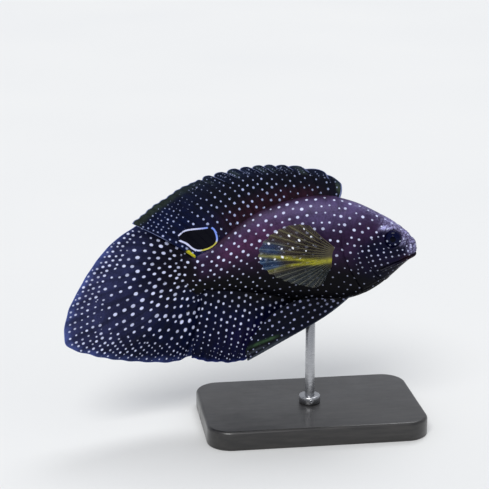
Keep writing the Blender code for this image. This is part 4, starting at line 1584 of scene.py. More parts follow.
def grow_beams(
    name: str, surface: Surface, beams: Sequence[Beam], material: bpy.types.Material
) -> bpy.types.Object:
    """Fin rays as one plain mesh, grown along a fin's surface by geometry nodes.

    Args:
        name: the piece's name.
        surface: the fin's grid, whose values the rays keep.
        beams: the rays.
        material: what the rays are made of.

    Returns:
        The rays' object.
    """
    places, kept = zip(*(surface.sample(beam.u, beam.t) for beam in beams))
    edges = []
    count = 0
    for points in places:
        edges += [(count + k, count + k + 1) for k in range(len(points) - 1)]
        count += len(points)
    paths = bpy.data.meshes.new(f"{name}_paths")
    paths.from_pydata((np.concatenate(places) * MM).tolist(), edges, [])
    radii = np.concatenate([beam.radius for beam in beams])
    paths.attributes.new("beam_radius", "FLOAT", "POINT").data.foreach_set("value", radii * MM)
    store_values(paths, {key: np.concatenate([values[key] for values in kept]) for key in surface.values})
    guide = add_object(f"{name}_paths", paths)
    modifier = guide.modifiers.new("beams", "NODES")
    modifier.node_group = beam_tree()
    wanted = {"Sides": BEAM_SIDES, "Thickness": 1.0, "Finish": material}
    for item in modifier.node_group.interface.items_tree:
        if item.in_out == "INPUT" and item.name in wanted:
            modifier[item.identifier] = wanted[item.name]
    mesh = bpy.data.meshes.new_from_object(guide.evaluated_get(bpy.context.evaluated_depsgraph_get()))
    guide.modifiers.clear()
    bpy.data.objects.remove(guide)
    mesh.name = name
    turn_outwards(mesh)
    return add_object(name, mesh)


@dataclass
class Fin:
    """A fin as a thin closed sheet with rays in it.

    columns and rows are the sheet's grid, across and along its rays. Places on it are u, from 0 to 1 across
    the rays, and t, from 0 at the root to 1 at the margin. rays are the evenly spaced rays' places across it.
    A ray splits at each of splits, over its split_lengths, by its split_ways in steps between rays.
    """

    name: str
    replaced: tuple[str, ...]
    columns: int
    rows: int
    rays: tuple[float, ...]
    slot: str = "fin"
    root_half: float = 0.42
    middle_half: float = 0.15
    margin_half: float = 0.07
    root_length: float = 1.3
    edge_share: float = 0.35
    edge_width: float = 0.25
    ray_root: float = 0.36
    ray_tip: float = 0.09
    ray_taper: float = 1.1
    ray_end: float = 0.995
    ray_steps: int = 60
    splits: tuple[float, float] = (0.35, 0.62)
    split_lengths: tuple[float, float] = (0.3, 0.25)
    split_ways: tuple[float, float] = (0.24, 0.12)
    free_edges: tuple[bool, bool] = (True, True)
    scallop: float = 0.003
    sag: float = 0.12
    spot_lines: float = 1.0
    spot_gap: float = 3.0
    spot_radius: float = 0.42

    def flat(self, u: Array, t: Array) -> Array:
        """Flat points of the fin's middle.

        Args:
            u: places across the rays.
            t: places along them.

        Returns:
            (..., 3) of s, y and z.
        """
        raise NotImplementedError

    def paint(self, surface: Surface, flat: Array, u: Array, t: Array) -> None:
        """Stores the zones and the spots.

        Args:
            surface: the fin's grid.
            flat: the grid's flat points.
            u: places across the rays.
            t: places along them.
        """
        raise NotImplementedError

    def phase(self, u: Array) -> Array:
        """Angle across the rays, one turn from each ray to the next."""
        return TURN * (u - self.rays[0]) / (self.rays[1] - self.rays[0])

    def scallops(self, u: Array) -> Array:
        """Share of the rays' length that the margin has, a little less between two rays."""
        return 1 - self.scallop * (1 - np.cos(self.phase(u)))

    def pleats(self, u: Array, t: Array) -> Array:
        """How far the membrane sags to one side between two rays, in millimetres."""
        return self.sag * np.cos(self.phase(u)) * t

    def surface(self) -> Surface:
        """The fin's grid with its values.

        Returns:
            The grid.
        """
        u, t = np.meshgrid(np.linspace(0, 1, self.columns), np.linspace(0, 1, self.rows), indexing="ij")
        flat = self.flat(u, t)
        surface = Surface(BACKBONE.place(flat))
        surface.points = surface.points + surface.normals() * self.pleats(u, t)[..., None]
        edge, across = surface.to_margin(), surface.steps(0)
        first, last = self.free_edges
        if first:
            edge = np.minimum(edge, across)
        if last:
            edge = np.minimum(edge, across[[-1], :] - across)
        surface.mark("fin_rays", self.phase(u), t * surface.steps(1)[:, [-1]], edge)
        self.paint(surface, flat, u, t)
        return surface

    def spaced(self, surface: Surface, gap: Array) -> tuple[Array, Array]:
        """Places of spots along the rays.

        Args:
            surface: the fin's grid.
            gap: how far apart the spots are, in millimetres.

        Returns:
            The places, and how many gaps the lines of spots stand apart.
        """
        run = surface.steps(1)
        moves = np.diff(run, axis=1) / (gap[:, 1:] + gap[:, :-1]) * 2
        along = np.concatenate([0 * run[:, :1], np.cumsum(moves, axis=1)], 1)
        across = np.gradient(surface.steps(0), axis=0) * (self.columns - 1) / self.spot_lines
        return along, across / gap

    def half(self, surface: Surface) -> Array:
        """Half the sheet's thickness: stout at the root, thin and then rounded off at the margin.

        Args:
            surface: the fin's grid, with its distances from the margin.

        Returns:
            The thickness's half at each point, in millimetres.
        """
        run = surface.steps(1)
        stout = (self.root_half - self.middle_half) * np.exp(-run / self.root_length)
        thin = self.middle_half + (self.margin_half - self.middle_half) * rise(run, 0, run[:, [-1]])
        round_off = np.sqrt(rise(surface.values["fin_rays"][..., 2], 0, self.edge_width))
        return (thin + stout) * (self.edge_share + (1 - self.edge_share) * round_off)

    def beams(self) -> list[Beam]:
        """Every ray, split in two and in four towards the margin.

        Returns:
            The beams.
        """
        spacing = self.rays[1] - self.rays[0]
        once, twice = self.splits
        found = []
        for ray, first, second in product(self.rays, (-1, 1), (-1, 1)):
            start = 0.0 if first == second == -1 else once if first == second else twice
            t = np.linspace(start, self.ray_end, int(self.ray_steps * (1 - start)))
            aside = first * self.split_ways[0] * rise(t, once, self.split_lengths[0])
            aside = aside + second * self.split_ways[1] * rise(t, twice, self.split_lengths[1])
            radius = self.ray_tip + (self.ray_root - self.ray_tip) * (1 - t) ** self.ray_taper
            found.append(Beam(np.clip(ray + spacing * aside, 0.0, 1.0), t, radius))
        return found

    def build(self, finish: bpy.types.Material) -> None:
        """Makes and dresses the sheet and its rays.

        Args:
            finish: what both are made of.
        """
        surface = self.surface()
        dress(closed_sheet(self.name, surface, self.half(surface)), finish, self.slot, self.replaced)
        dress(grow_beams(f"{self.name}_rays", surface, self.beams(), finish), finish, self.slot)


def bezier(root: Array, pull: Array, tip: Array, t: Array) -> Array:
    """Points at t of the quadratic curves from root, pulled to pull, to tip."""
    t = t[..., None]
    return root * (1 - t) ** 2 + pull * 2 * t * (1 - t) + tip * t * t


def doubled(radius: Array, share: Array, fine: Array | float = 0.0) -> tuple:
    """Radii of spots, of which a share are twice as many, with finer ones between."""
    return radius * (1 - share), radius * share, fine


@dataclass
class MedianFin(Fin):
    """The dorsal or the anal fin, whose rays lean and bow back from the body's edge.

    base are the stations of its ends, and tips are points along its margin, evenly spaced across the rays.
    """

    base: tuple[float, float] = (0.0, 1.0)
    tips: tuple = ()
    upper: bool = True
    seat: float = 0.5
    bow: float = 0.09
    lobe_start: float = 87.0
    lobe_length: float = 7.0
    lobe_shift: float = -1.3
    wave: float = 0.8
    wave_length: float = 46.0
    ripple: float = 0.35
    ripple_length: float = 9.5
    spot_closing: float = 1.1

    def tip_place(self, u: Array) -> Array:
        """Place along the margin of the ray's tip."""
        return u

    def reach(self, u: Array) -> Array:
        """Share of the full height that the margin has at u."""
        return self.scallops(u)

    def flat(self, u: Array, t: Array) -> Array:
        """Flat points of the rays, with the wave that runs through the fin."""
        direction = 1 if self.upper else -1
        edge = SHAPE.back if self.upper else SHAPE.belly
        station = self.base[0] + (self.base[1] - self.base[0]) * u
        root = np.stack([station, edge(station) - direction * self.seat], -1)
        tip = path_point(self.tips, self.tip_place(u))
        along = tip - root
        lean = np.stack([-np.abs(along[..., 1]), direction * along[..., 0]], -1)
        lean = lean * self.bow * (1 - u**4)[..., None]
        s, z = np.moveaxis(bezier(root, root + along / 2 + 2 * lean, tip, t * self.reach(u)), -1, 0)
        shift = self.lobe_shift * rise(s, self.lobe_start, self.lobe_length)
        wave = self.wave * np.sin(TURN * s / self.wave_length) * t**2
        ripple = self.ripple * np.sin(TURN * s / self.ripple_length) * t**4
        return np.stack([s, shift + wave + ripple, z], -1)

    def gaps(self, t: Array) -> Array:
        """How far apart the spots are, in millimetres: they close up towards the margin."""
        return self.spot_gap - self.spot_closing * rise(t, 0.3, 0.6)


@dataclass
class DorsalFin(MedianFin):
    """The whole dorsal fin: eleven spines with a flag of membrane behind each, soft rays and the eyespot.

    tip_places are the places along the margin of the spines' tips and of the rear end. The yellow mark runs
    from yellow_foot over yellow_way, in stations and heights.
    """

    name: str = "dorsal_fin_skin"
    replaced: tuple[str, ...] = ("dorsal_spiny", "dorsal_soft")
    columns: int = 420
    rows: int = 64
    rays: tuple[float, ...] = tuple(0.68 + 0.04 * k for k in range(9))
    sag: float = 0.14
    spot_lines: float = 22.0
    spot_gap: float = 3.1
    base: tuple[float, float] = (31.5, 90.0)
    tips: tuple = (
        ((30.4, 27.2), (36.0, 31.8), (45.0, 34.5), (62.0, 36.4))
        + ((79.0, 36.6), (93.0, 34.4), (107.0, 31.0))
    )
    spines: int = 11
    spines_end: float = 0.62
    spine_root: float = 0.45
    spine_tip: float = 0.15
    spine_taper: float = 0.8
    spine_end: float = 0.97
    spine_steps: int = 40
    spine_shift: float = 0.002
    soft_reach: float = 0.985
    soft_scallop: float = 0.006
    tip_places: tuple = (0, 0.185, 0.348, 0.41, 0.451, 0.4875, 0.527, 0.566, 0.609, 0.652, 0.692, 1)
    flag_front: float = 0.035
    flag_rear: float = 0.075
    flag_top: float = 0.36
    flag_curl: float = 0.8
    flag_width: float = 4.5
    slit: float = 2.4
    slit_width: float = 0.035
    slit_depth: float = 0.09
    yellow_foot: tuple[float, float] = (91.3, 6.3)
    yellow_way: tuple[float, float] = (1.2, 2.4)
    eyespot: Eyespot = Eyespot()

    def tip_place(self, u: Array) -> Array:
        """Place along the margin of the ray's tip: the rays lean back, and the first ones stand apart."""
        return np.interp(u, [*np.linspace(0, self.spines_end, self.spines), 1], self.tip_places)

    def cell(self, u: Array) -> Array:
        """Way from one spine to the next, from 0 to 1."""
        return u * (self.spines - 1) / self.spines_end % 1.0

    def spiny(self, u: Array) -> Array:
        """1 over the spines, falling to 0 over the soft rays."""
        return fall(u, self.spines_end - 0.03, 0.06)

    def reach(self, u: Array) -> Array:
        """Share of the full height: a rounded flag behind each spine, then an even margin.

        Args:
            u: places across the rays.

        Returns:
            A part of the full length at each place.
        """
        cell = self.cell(u)
        before = self.flag_front * ((self.flag_top - cell).clip(0) / self.flag_top) ** 2
        after = self.flag_rear * ((cell - self.flag_top).clip(0) / (1 - self.flag_top)) ** 2
        front = 1 - before - after - self.slit_depth * (cell > 1 - self.slit_width)
        soft = self.soft_reach - self.soft_scallop * np.cos(self.phase(u))
        return front * self.spiny(u) + soft * (1 - self.spiny(u))

    def flat(self, u: Array, t: Array) -> Array:
        """Flat points, with each flag's edge curled to the sides."""
        flat = super().flat(u, t)
        cell = self.cell(u)
        curl = self.flag_curl * np.cos(math.pi * cell) * rise(t, 0.55, 0.45) ** 1.5 * self.spiny(u)
        flat[..., 1] += curl * rise(cell, 0, 0.08)
        return flat

    def pleats(self, u: Array, t: Array) -> Array:
        """Sag of the membrane between two spines."""
        return self.sag * np.sin(math.pi * self.cell(u)) ** 2 * t * self.spiny(u)

    def beams(self) -> list[Beam]:
        """Plain spines in front, split rays behind."""
        t = np.linspace(0, self.spine_end, self.spine_steps)
        radius = self.spine_tip + (self.spine_root - self.spine_tip) * (1 - t) ** self.spine_taper
        places = np.linspace(0, self.spines_end, self.spines) + self.spine_shift
        return [Beam(0 * t + place, t, radius) for place in places] + super().beams()

    def paint(self, surface: Surface, flat: Array, u: Array, t: Array) -> None:
        """A purple band below, an olive margin behind, specks in front and yellow at the rear root."""
        s, z = flat[..., 0], flat[..., 2]
        edge, spiny = surface.to_margin(), self.spiny(u)
        band = fall(t, 0.1, 0.38) * fall(u, 0.7, 0.25) * rise(u, 0.03, 0.2)
        patches = 0.9 * rise(np.sin(u * 95) + np.sin(u * 41 + 1), 0, 1.5) * fall(edge, 4.0, 2.5)
        olive = np.maximum(0.85 * fall(edge, 2.2, 3.0) * rise(u, 0.5, 0.25), patches * spiny)
        share = ((z - self.yellow_foot[1]) / self.yellow_way[1]).clip(0, 1)
        nearest = (foot + way * share for foot, way in zip(self.yellow_foot, self.yellow_way))
        yellow = fall(np.hypot(*(place - near for place, near in zip((s, z), nearest))), 0.9, 0.5)
        rear = rise(u, 0.62, 0.3)
        surface.mark("zones", band, olive, yellow)
        grey = 0.5 * rise(t, 0.62, 0.25) * (1 - rear)
        surface.mark("more_zones", rear * (1 - olive) * (1 - yellow), grey, 0.0)
        surface.mark("eyespot_place", *self.eyespot.field(s, z))

        # The pale hairline runs round the flags' slits too, and leaves out the yellow mark and the rear edge
        aside = np.minimum(self.cell(u), 1 - self.cell(u)) * self.flag_width
        slit = np.hypot(aside, (edge - self.slit).clip(0)) + 1 - spiny
        rim = surface.values["fin_rays"][..., 2]
        rim[:] = np.minimum(rim, slit) + 3 * yellow
        rim += (0.24 + 0.2 * fall(t, 0.2, 0.4)) * rise(u, 0.94, 0.04) * (t < 0.97)

        along, wider = self.spaced(surface, self.gaps(t))
        front = fall(u, 0.2, 0.35)
        inner = rise(edge, 0.9 + 1.3 * rear, 0.8)
        main = self.spot_radius + 0.03 * rear - 0.1 * front
        main = main * (1 - 0.42 * rise(t, 0.4, 0.4)) * (1 - yellow)
        main = main * rise(surface.steps(1), 0.8, 0.8) * inner
        fine = 0.17 * rise(t, 0.5, 0.2) * fall(edge, 4.5, 1.5) * (1 - rear) * inner
        glow = (1 - 0.45 * rise(t, 0.55, 0.3) * (1 - 0.5 * rear)) * (1 - 0.25 * front)
        radii = doubled(main, rise(wider, 1.45, 0.12) * rear, fine)
        surface.lay_spots(along, u * self.spot_lines, radii, glow)


@dataclass
class AnalFin(MedianFin):
    """The anal fin, with its rows of spots closing up towards the margin."""

    name: str = "anal_fin_skin"
    replaced: tuple[str, ...] = ("anal_fin",)
    columns: int = 190
    rows: int = 84
    rays: tuple[float, ...] = tuple(k / 11 for k in range(12))
    free_edges: tuple[bool, bool] = (False, False)
    spot_lines: float = 15.0
    spot_gap: float = 3.3
    spot_closing: float = 1.4
    spot_radius: float = 0.43
    base: tuple[float, float] = (49.0, 91.0)
    tips: tuple = (
        ((54.5, -28.0), (64.5, -36.3), (76.0, -43.0), (86.0, -44.6))
        + ((96.0, -42.4), (105.0, -38.6), (110.6, -33.9))
    )
    upper: bool = False

    def paint(self, surface: Surface, flat: Array, u: Array, t: Array) -> None:
        """Black towards the belly, navy outside, violet in the middle and dark at the front."""
        edge = surface.to_margin()
        dark = fall(t, 0.05, 0.3) * (1 - 0.5 * rise(u, 0.5, 0.4))
        surface.mark("zones", dark, blot((u - 0.45) / 0.3, (t - 0.62) / 0.22), 0.5 * fall(edge, 0.6, 1.2))
        surface.mark("more_zones", 0.6 * fall(u, 0, 0.3), 0.0, 0.0)
        along, wider = self.spaced(surface, self.gaps(t))
        main = self.spot_radius * (1 - 0.5 * rise(t, 0.4, 0.5))
        main = main * rise(surface.steps(1), 0.6, 0.8) * rise(edge, 0.9, 0.5)
        surface.lay_spots(along, u * self.spot_lines, doubled(main, rise(wider, 1.45, 0.12)), 1 - 0.35 * dark)


@dataclass
class CaudalFin(Fin):
    """The tail fin, whose rays spread from the stalk and turn in towards the tip.

    tips are points along its margin from the lowest ray up. turn, in its methods, runs from -1 there to 1 at
    the highest.
    """

    name: str = "caudal_fin_skin"
    replaced: tuple[str, ...] = ("caudal_fin",)
    columns: int = 262
    rows: int = 132
    rays: tuple[float, ...] = tuple(k / 16 for k in range(17))
    scallop: float = 0.0025
    spot_lines: float = 21.0
    spot_gap: float = 4.9
    spot_radius: float = 0.48
    station: float = 91.3
    tips: tuple = (
        ((109.4, -35.5), (118.8, -32.8), (129.5, -25.2), (138.5, -17.2), (146.6, -8.2), (152.8, 1.6))
        + ((146.2, 12.2), (136.8, 18.7), (125.9, 23.6), (114.8, 26.9), (104.4, 27.5))
    )
    spread: float = math.radians(74)
    pull: float = 0.45
    root_share: float = 0.9
    side_shift: float = 1.0
    side_length: float = 4.0
    cup: float = 3.0
    ripple: float = 0.4
    ripples: float = 11.0
    ripple_start: float = 0.8
    root_seat: float = 0.3

    def aside(self, s: Array) -> Array:
        """How far the fin's middle, and the stalk's end with it, stands to the fish's left."""
        return self.side_shift * rise(s, self.station, self.side_length)

    def flat(self, u: Array, t: Array) -> Array:
        """Flat points of the rays; u = 0 is the lowest ray."""
        turn = 2 * u - 1
        top, bottom = SHAPE.backs[-1], SHAPE.bellies[-1]
        height = (top + bottom) / 2 + turn * (top - bottom) / 2 * self.root_share
        root = np.stack([self.station - self.root_seat + 0 * turn, height], -1)
        tip = path_point(self.tips, u)
        length = np.linalg.norm(tip - root, axis=-1)[..., None]
        start = np.stack([np.cos(turn * self.spread), np.sin(turn * self.spread)], -1)
        s, z = np.moveaxis(bezier(root, root + self.pull * length * start, tip, t * self.scallops(u)), -1, 0)
        ripple = self.ripple * np.sin(turn * self.ripples + self.ripple_start) * t**3
        return np.stack([s, self.aside(s) + self.cup * turn**2 * t**2 + ripple, z], -1)

    def paint(self, surface: Surface, flat: Array, u: Array, t: Array) -> None:
        """Lilac-blue above and behind, navy below, purple-brown at the top of the root."""
        run = surface.steps(1)
        edge = surface.values["fin_rays"][..., 2]
        edge += 4 * fall(run, 12, 16) * rise(run, 0, 2)
        turn = 2 * u - 1
        light = rise(turn, -0.5, 0.7) * rise(t, 0.35, 0.45)
        light = np.maximum(light, 0.55 * hill(turn + 0.1, 0.35) * rise(t, 0.25, 0.3))
        corner = 1 - 0.75 * rise(turn, 0.62, 0.3)
        root = fall(run, 8.0, 20.0) * rise(turn, -0.45, 0.5)
        surface.mark("zones", light * corner, fall(turn, -0.55, 0.5), root)
        band = 0.75 * fall(edge, 0.8, 3.6) * corner * (0.45 + 0.55 * rise(turn, -0.6, 0.8))
        surface.mark("more_zones", band, 0.0, 0.0)
        low = fall(turn, -0.6, 0.35)
        gap = self.spot_gap - 1.2 * t - 1.3 * rise(t, 0.55, 0.4) - 0.4 * low * rise(t, 0.7, 0.2)
        along, wider = self.spaced(surface, gap)
        shrink = 1 - 0.38 * rise(t, 0.5, 0.4) - 0.2 * low * rise(t, 0.7, 0.25)
        main = (self.spot_radius + 0.1 * rise(run, 8, 14)) * (0.5 + 0.5 * rise(wider * gap, 0.5, 1.6))
        main = main * shrink * rise(run, 4.0, 2.5) * rise(edge, 0.5, 0.6)
        surface.spot_stretch = 1.4
        surface.lay_spots(along, u * self.spot_lines, doubled(main, rise(wider, 1.4, 0.12)), 1.0)


@dataclass
class PelvicFin(Fin):
    """A long pelvic fin, laid back under the belly, u = 0 at its leading edge.

    streak is the green streak's path, as stations and heights.
    """

    columns: int = 40
    rows: int = 130
    rays: tuple[float, ...] = tuple(k / 4 for k in range(5))
    splits: tuple[float, float] = (0.45, 0.7)
    spot_lines: float = 4.0
    side: int = 1
    root: tuple[float, float] = (27.5, 36.5)
    root_side: float = 3.3
    root_seat: float = 0.4
    flare: float = 2.4
    ripple: float = 0.25
    tip: tuple[float, float] = (82.0, -43.2)
    bow: float = 4.6
    rear_bow: float = 5.5
    pull: float = 0.42
    slant: float = 0.5
    lift: float = 4.2
    streak: tuple = ((58.0, 65.0, 72.0, 84.0), (-34.9, -35.9, -36.9, -38.8))
    spot_radius: float = 0.2

    def flat(self, u: Array, t: Array) -> Array:
        """Flat points from the leading edge to the rear."""
        station = self.root[0] + (self.root[1] - self.root[0]) * u
        root = np.stack([station, SHAPE.underside(station, self.root_side) + self.root_seat], -1)
        tip = np.stack([self.tip[0] - self.slant * u, self.tip[1] + self.lift * u], -1)
        along = tip - root
        down = np.stack([along[..., 1], -along[..., 0]], -1) / np.linalg.norm(along, axis=-1, keepdims=True)
        bow = (self.bow * (1 - u) - self.rear_bow * u)[..., None]
        flat = bezier(root, root + self.pull * along + 2 * bow * down, tip, t)
        ripple = self.ripple * np.sin(9 * t + 2 * u) * t
        out = self.root_side + self.flare * np.sin(t * math.pi / 2) + ripple
        return np.stack([flat[..., 0], -self.side * out, flat[..., 1]], -1)

    def paint(self, surface: Surface, flat: Array, u: Array, t: Array) -> None:
        """A green streak near the tip, spots above it, and a dark wedge and whitish streaks below it."""
        s, run = flat[..., 0], surface.steps(1)
        over = flat[..., 2] - through(*self.streak, s)
        late = rise(s, self.streak[0][0], 7)
        green = 0.8 * hill(over, 0.65) * late * (1 - 0.6 * rise(s, 73, 6))
        white = 0.75 * hill(u, 0.1) * rise(t, 0.5, 0.3)
        white = np.maximum(white, 0.4 * hill(over + 2.2, 0.55) * rise(s, 66, 5))
        surface.mark("zones", np.maximum(fall(t, 0, 0.25), hill(over + 1.1, 0.6) * late), green, white)
        surface.values["fin_rays"][..., 2] += rise(u, 0.4, 0.2)
        above = np.maximum(rise(over, 0.7, 0.4), 1 - late)
        main = self.spot_radius * (1 + above) * rise(run, 1.0, 1.0) * (1 - 0.9 * hill(over, 0.8) * late)
        glow = 0.45 + 0.4 * rise(t, 0.15, 0.3)
        surface.lay_spots(run / self.spot_gap, u * self.spot_lines, (main, 0.0, 0.0), glow)


@dataclass
class PectoralFin(Fin):
    """A rounded pectoral fin that stands off the flank, u = 0 at its top ray.

    stations and heights are those of its root's ends. aims, outward and lengths are the rays' angles up and
    away from the body in degrees and their lengths, evenly spaced across the fin. Each of streaks is a yellow
    streak's places across the fin and widths at streak_knots along it, how much it fades and from where.
    """

    columns: int = 217
    rows: int = 60
    rays: tuple[float, ...] = tuple(k / 18 for k in range(19))
    slot: str = "pectoral"
    root_half: float = 0.44
    middle_half: float = 0.09
    root_length: float = 1.2
    root_gap: float = 0.1
    ray_root: float = 0.2
    ray_tip: float = 0.07
    splits: tuple[float, float] = (0.5, 0.75)
    scallop: float = 0.009
    sag: float = 0.22
    spot_lines: float = 9.0
    side: int = 1
    stations: tuple[float, float] = (33.6, 35.2)
    heights: tuple[float, float] = (2.6, -5.4)
    cup: float = 0.07
    aims: tuple[float, ...] = (44, 27, 14, 4, -3, -12, -40)
    outward: tuple[float, ...] = (25, 27, 27, 29, 42, 56, 62)
    lengths: tuple[float, ...] = (15.5, 29.0, 37.5, 36.0, 29.8, 20.7, 7.0)
    streak_knots: tuple[float, ...] = (0, 0.4, 1)
    streaks: tuple = (
        ((0.66, 0.47, 0.375), (0.13, 0.04, 0.02), 0.6, 0.6),
        ((0.68, 0.54, 0.535), (0.1, 0.03, 0.012), 0.7, 0.45),
    )
    spot_gap: float = 5.6

    def flat(self, u: Array, t: Array) -> Array:
        """Flat points of the rays, which cup a little away from the body."""
        s, z = (ends[0] + (ends[1] - ends[0]) * u for ends in (self.stations, self.heights))
        aim, out = np.radians(evenly(self.aims, u)), np.radians(evenly(self.outward, u))
        length = evenly(self.lengths, u) * self.scallops(u)
        run = length * t
        level = run * np.cos(aim)
        cup = self.cup * length * np.sin(math.pi * t)
        away = SHAPE.flank(s, z) + self.root_gap + level * np.sin(out) + cup
        return np.stack([s + level * np.cos(out), -self.side * away, z + run * np.sin(aim)], -1)

    def pleats(self, u: Array, t: Array) -> Array:
        """Sag of the clear membrane between two rays."""
        return self.sag * np.cos(self.phase(u)) * rise(t, 0, 0.4)

    def paint(self, surface: Surface, flat: Array, u: Array, t: Array) -> None:
        """Olive above with brown between the rays, a yellow middle, blue tips and a grey lower fan."""
        run, edge = surface.steps(1), surface.to_margin()
        yellow = 0 * t
        for places, widths, fade, start in self.streaks:
            aside = u - through(self.streak_knots, places, t)
            streak = hill(aside, through(self.streak_knots, widths, t)) * (1 - fade * rise(t, start, 0.3))
            yellow = np.maximum(yellow, streak)
        yellow = yellow * (0.62 + 0.38 * rise(t, 0.1, 0.25))
        blue = rise(t, 0.6, 0.25) * rise(u, 0.24, 0.08) * fall(u, 0.5, 0.06) * (1 - yellow)
        surface.mark("zones", blue, rise(u, 0.55, 0.06) * rise(t, 0, 0.25), yellow)
        between = (0.5 - 0.5 * np.cos(self.phase(u))) ** 0.7
        brown = between * fall(u, 0.36, 0.08) * rise(t, 0, 0.2) * (0.4 + 0.5 * fall(t, 0.3, 0.5))
        dark = hill(u - 0.455, 0.04) + hill(u - 0.62, 0.05)
        brown = np.maximum(brown, 0.6 * between * dark * rise(t, 0.35, 0.2))
        surface.mark("more_zones", brown, (1 - between) ** 4 * rise(t, 0, 0.15), 0.0)
        firm = np.maximum(fall(t, 0, 0.3), 0.5 * fall(edge, 0, 0.5))
        surface.mark("fin_rays", self.phase(u), run, firm)
        main = (self.spot_radius + 0.1 * rise(t, 0.7, 0.2)) * fall(u, 0.42, 0.12) * rise(t, 0.3, 0.1)
        surface.lay_spots(-edge / self.spot_gap, u * self.spot_lines, (main, 0.0, 0.0), 1.0)

    def half(self, surface: Surface) -> Array:
        """Half the clear membrane's thickness."""
        stout = (self.root_half - self.middle_half) * np.exp(-surface.steps(1) / self.root_length)
        return self.middle_half + stout


def rounded_outline(length: float, width: float, corner: float, steps: int = 12) -> Array:
    """Points round a rectangle with round corners.

    Args:
        length: its length in millimetres.
        width: its width.
        corner: its corners' radius.
        steps: how many steps each corner has.

    Returns:
        (n, 2) of x and y.
    """
    found = []
    for number, (x, y) in enumerate(((1, 1), (-1, 1), (-1, -1), (1, -1))):
        turn = math.pi / 2 * (number + np.linspace(0, 1, steps + 1))
        middle = (x * (length / 2 - corner), y * (width / 2 - corner))
        found.append(corner * np.column_stack([np.cos(turn), np.sin(turn)]) + middle)
    return np.concatenate(found)


@dataclass
class Stand:
    """The base with rounded edges, the collar with its set screw and the rod."""

    length: float = 92.0
    width: float = 58.0
    thickness: float = 8.0
    bevel: float = 1.4
    lower_bevel: float = 0.5
    bevel_rings: tuple[int, int] = (4, 9)
    corner: float = 10.0
    sharp_angle: float = math.radians(50)
    collar_radius: float = 4.5
    collar_height: float = 3.0
    collar_edge: float = 0.5
    collar_cut: float = 0.15
    collar_hole: float = 0.6
    rod_radius: float = 2.0
    rod_room: float = 0.1
    rod_lift: float = 0.05
    rod_sides: int = 48
    gap: float = 0.3
    chamfer: float = 0.3
    rod_depth: float = 4.0
    screw_radius: float = 1.0
    screw_head: float = 0.25
    screw_edge: float = 0.15
    screw_length: float = 1.0
    screw_sides: int = 48
    socket_radius: float = 0.55
    socket_depth: float = 0.7

    def stack(self, name: str, rings: Sequence[Array]) -> bpy.types.Object:
        """A closed piece with flat ends.

        Args:
            name: the piece's name.
            rings: its rings of points in millimetres, lowest first.

        Returns:
            The piece's object.
        """
        n = len(rings[0])
        number = np.arange(len(rings) * n).reshape(len(rings), n)
        wrapped = np.concatenate([number, number[:, :1]], 1)
        ends = [number[0].tolist(), number[-1, ::-1].tolist()]
        piece = make_mesh(name, np.concatenate(rings), ends + squares(wrapped).tolist())
        piece.data.set_sharp_from_angle(angle=self.sharp_angle)
        return piece

    def base(self) -> bpy.types.Object:
        """The base plate, with a small lower round and a larger upper one.

        Returns:
            The base's object.
        """
        low, high = (np.linspace(0, math.pi / 2, count) for count in self.bevel_rings)
        insets = [*(self.lower_bevel * (1 - np.sin(low))), *(self.bevel * (1 - np.cos(high)))]
        top = self.thickness - self.bevel
        heights = [*(self.lower_bevel * (1 - np.cos(low))), *(top + self.bevel * np.sin(high))]
        rings = []
        for inset, z in zip(insets, heights):
            flat = rounded_outline(self.length - 2 * inset, self.width - 2 * inset, self.corner - inset)
            rings.append(np.column_stack([flat, np.full(len(flat), z)]))
        return self.stack("stand_base_plate", rings)

    def turned(self, name: str, profile: Sequence[tuple[float, float]], sides: int = 64) -> bpy.types.Object:
        """A round piece on the upright axis.

        Args:
            name: the piece's name.
            profile: its radii and heights in millimetres, lowest first.
            sides: how many points each ring has.

        Returns:
            The piece's object.
        """
        turn = np.linspace(0, TURN, sides, endpoint=False)
        rings = [np.column_stack([r * np.cos(turn), r * np.sin(turn), 0 * turn + z]) for r, z in profile]
        return self.stack(name, rings)

    def set_screw(self, height: float) -> bpy.types.Object:
        """The screw in the collar's front, with a six-sided socket.

        Args:
            height: how high over the floor it is, in millimetres.

        Returns:
            The screw's object.
        """
        turn = np.linspace(0, TURN, self.screw_sides, endpoint=False)
        six = math.cos(math.pi / 6) / np.cos((turn + math.pi / 6) % (math.pi / 3) - math.pi / 6)
        socket, full = self.socket_radius * six, self.screw_radius + 0 * turn
        face, edge = -self.screw_head, self.screw_edge
        profile = ((full, self.screw_length), (full, face + edge), (full - edge, face))
        rings = []
        for radius, inward in (*profile, (socket, face), (socket, face + self.socket_depth)):
            y = 0 * turn + inward - self.collar_radius
            rings.append(np.column_stack([radius * np.cos(turn), y, height + radius * np.sin(turn)]))
        return self.stack("stand_set_screw", rings)

    def build(self, lacquer: bpy.types.Material, steel: bpy.types.Material) -> None:
        """Makes and dresses the stand's pieces.

        Args:
            lacquer: what the base is made of.
            steel: what the collar, the screw and the rod are made of.
        """
        dress(self.base(), lacquer, "base", ["stand_base"])
        low, top = self.thickness, self.thickness + self.collar_height + self.gap
        out, inner, cut = self.collar_radius, self.rod_radius + self.rod_room, self.chamfer
        profile = [(out - cut, low), (out, low + cut), (out, top - self.collar_edge)]
        profile += [(out - self.collar_cut, top - self.collar_cut), (out - self.collar_edge, top)]
        profile += [(inner, top), (inner, top - self.collar_hole)]
        dress(self.turned("stand_collar_ring", profile), steel, "steel", ["stand_collar"])
        dress(self.set_screw((low + top) / 2), steel, "steel")
        end = float(BACKBONE.rod_top()[2]) + self.rod_depth
        start = low + self.rod_lift
        rod = [(self.rod_radius, start), (self.rod_radius, end - cut), (self.rod_radius - cut, end)]
        dress(self.turned("stand_rod_bar", rod, self.rod_sides), steel, "steel", ["stand_rod"])


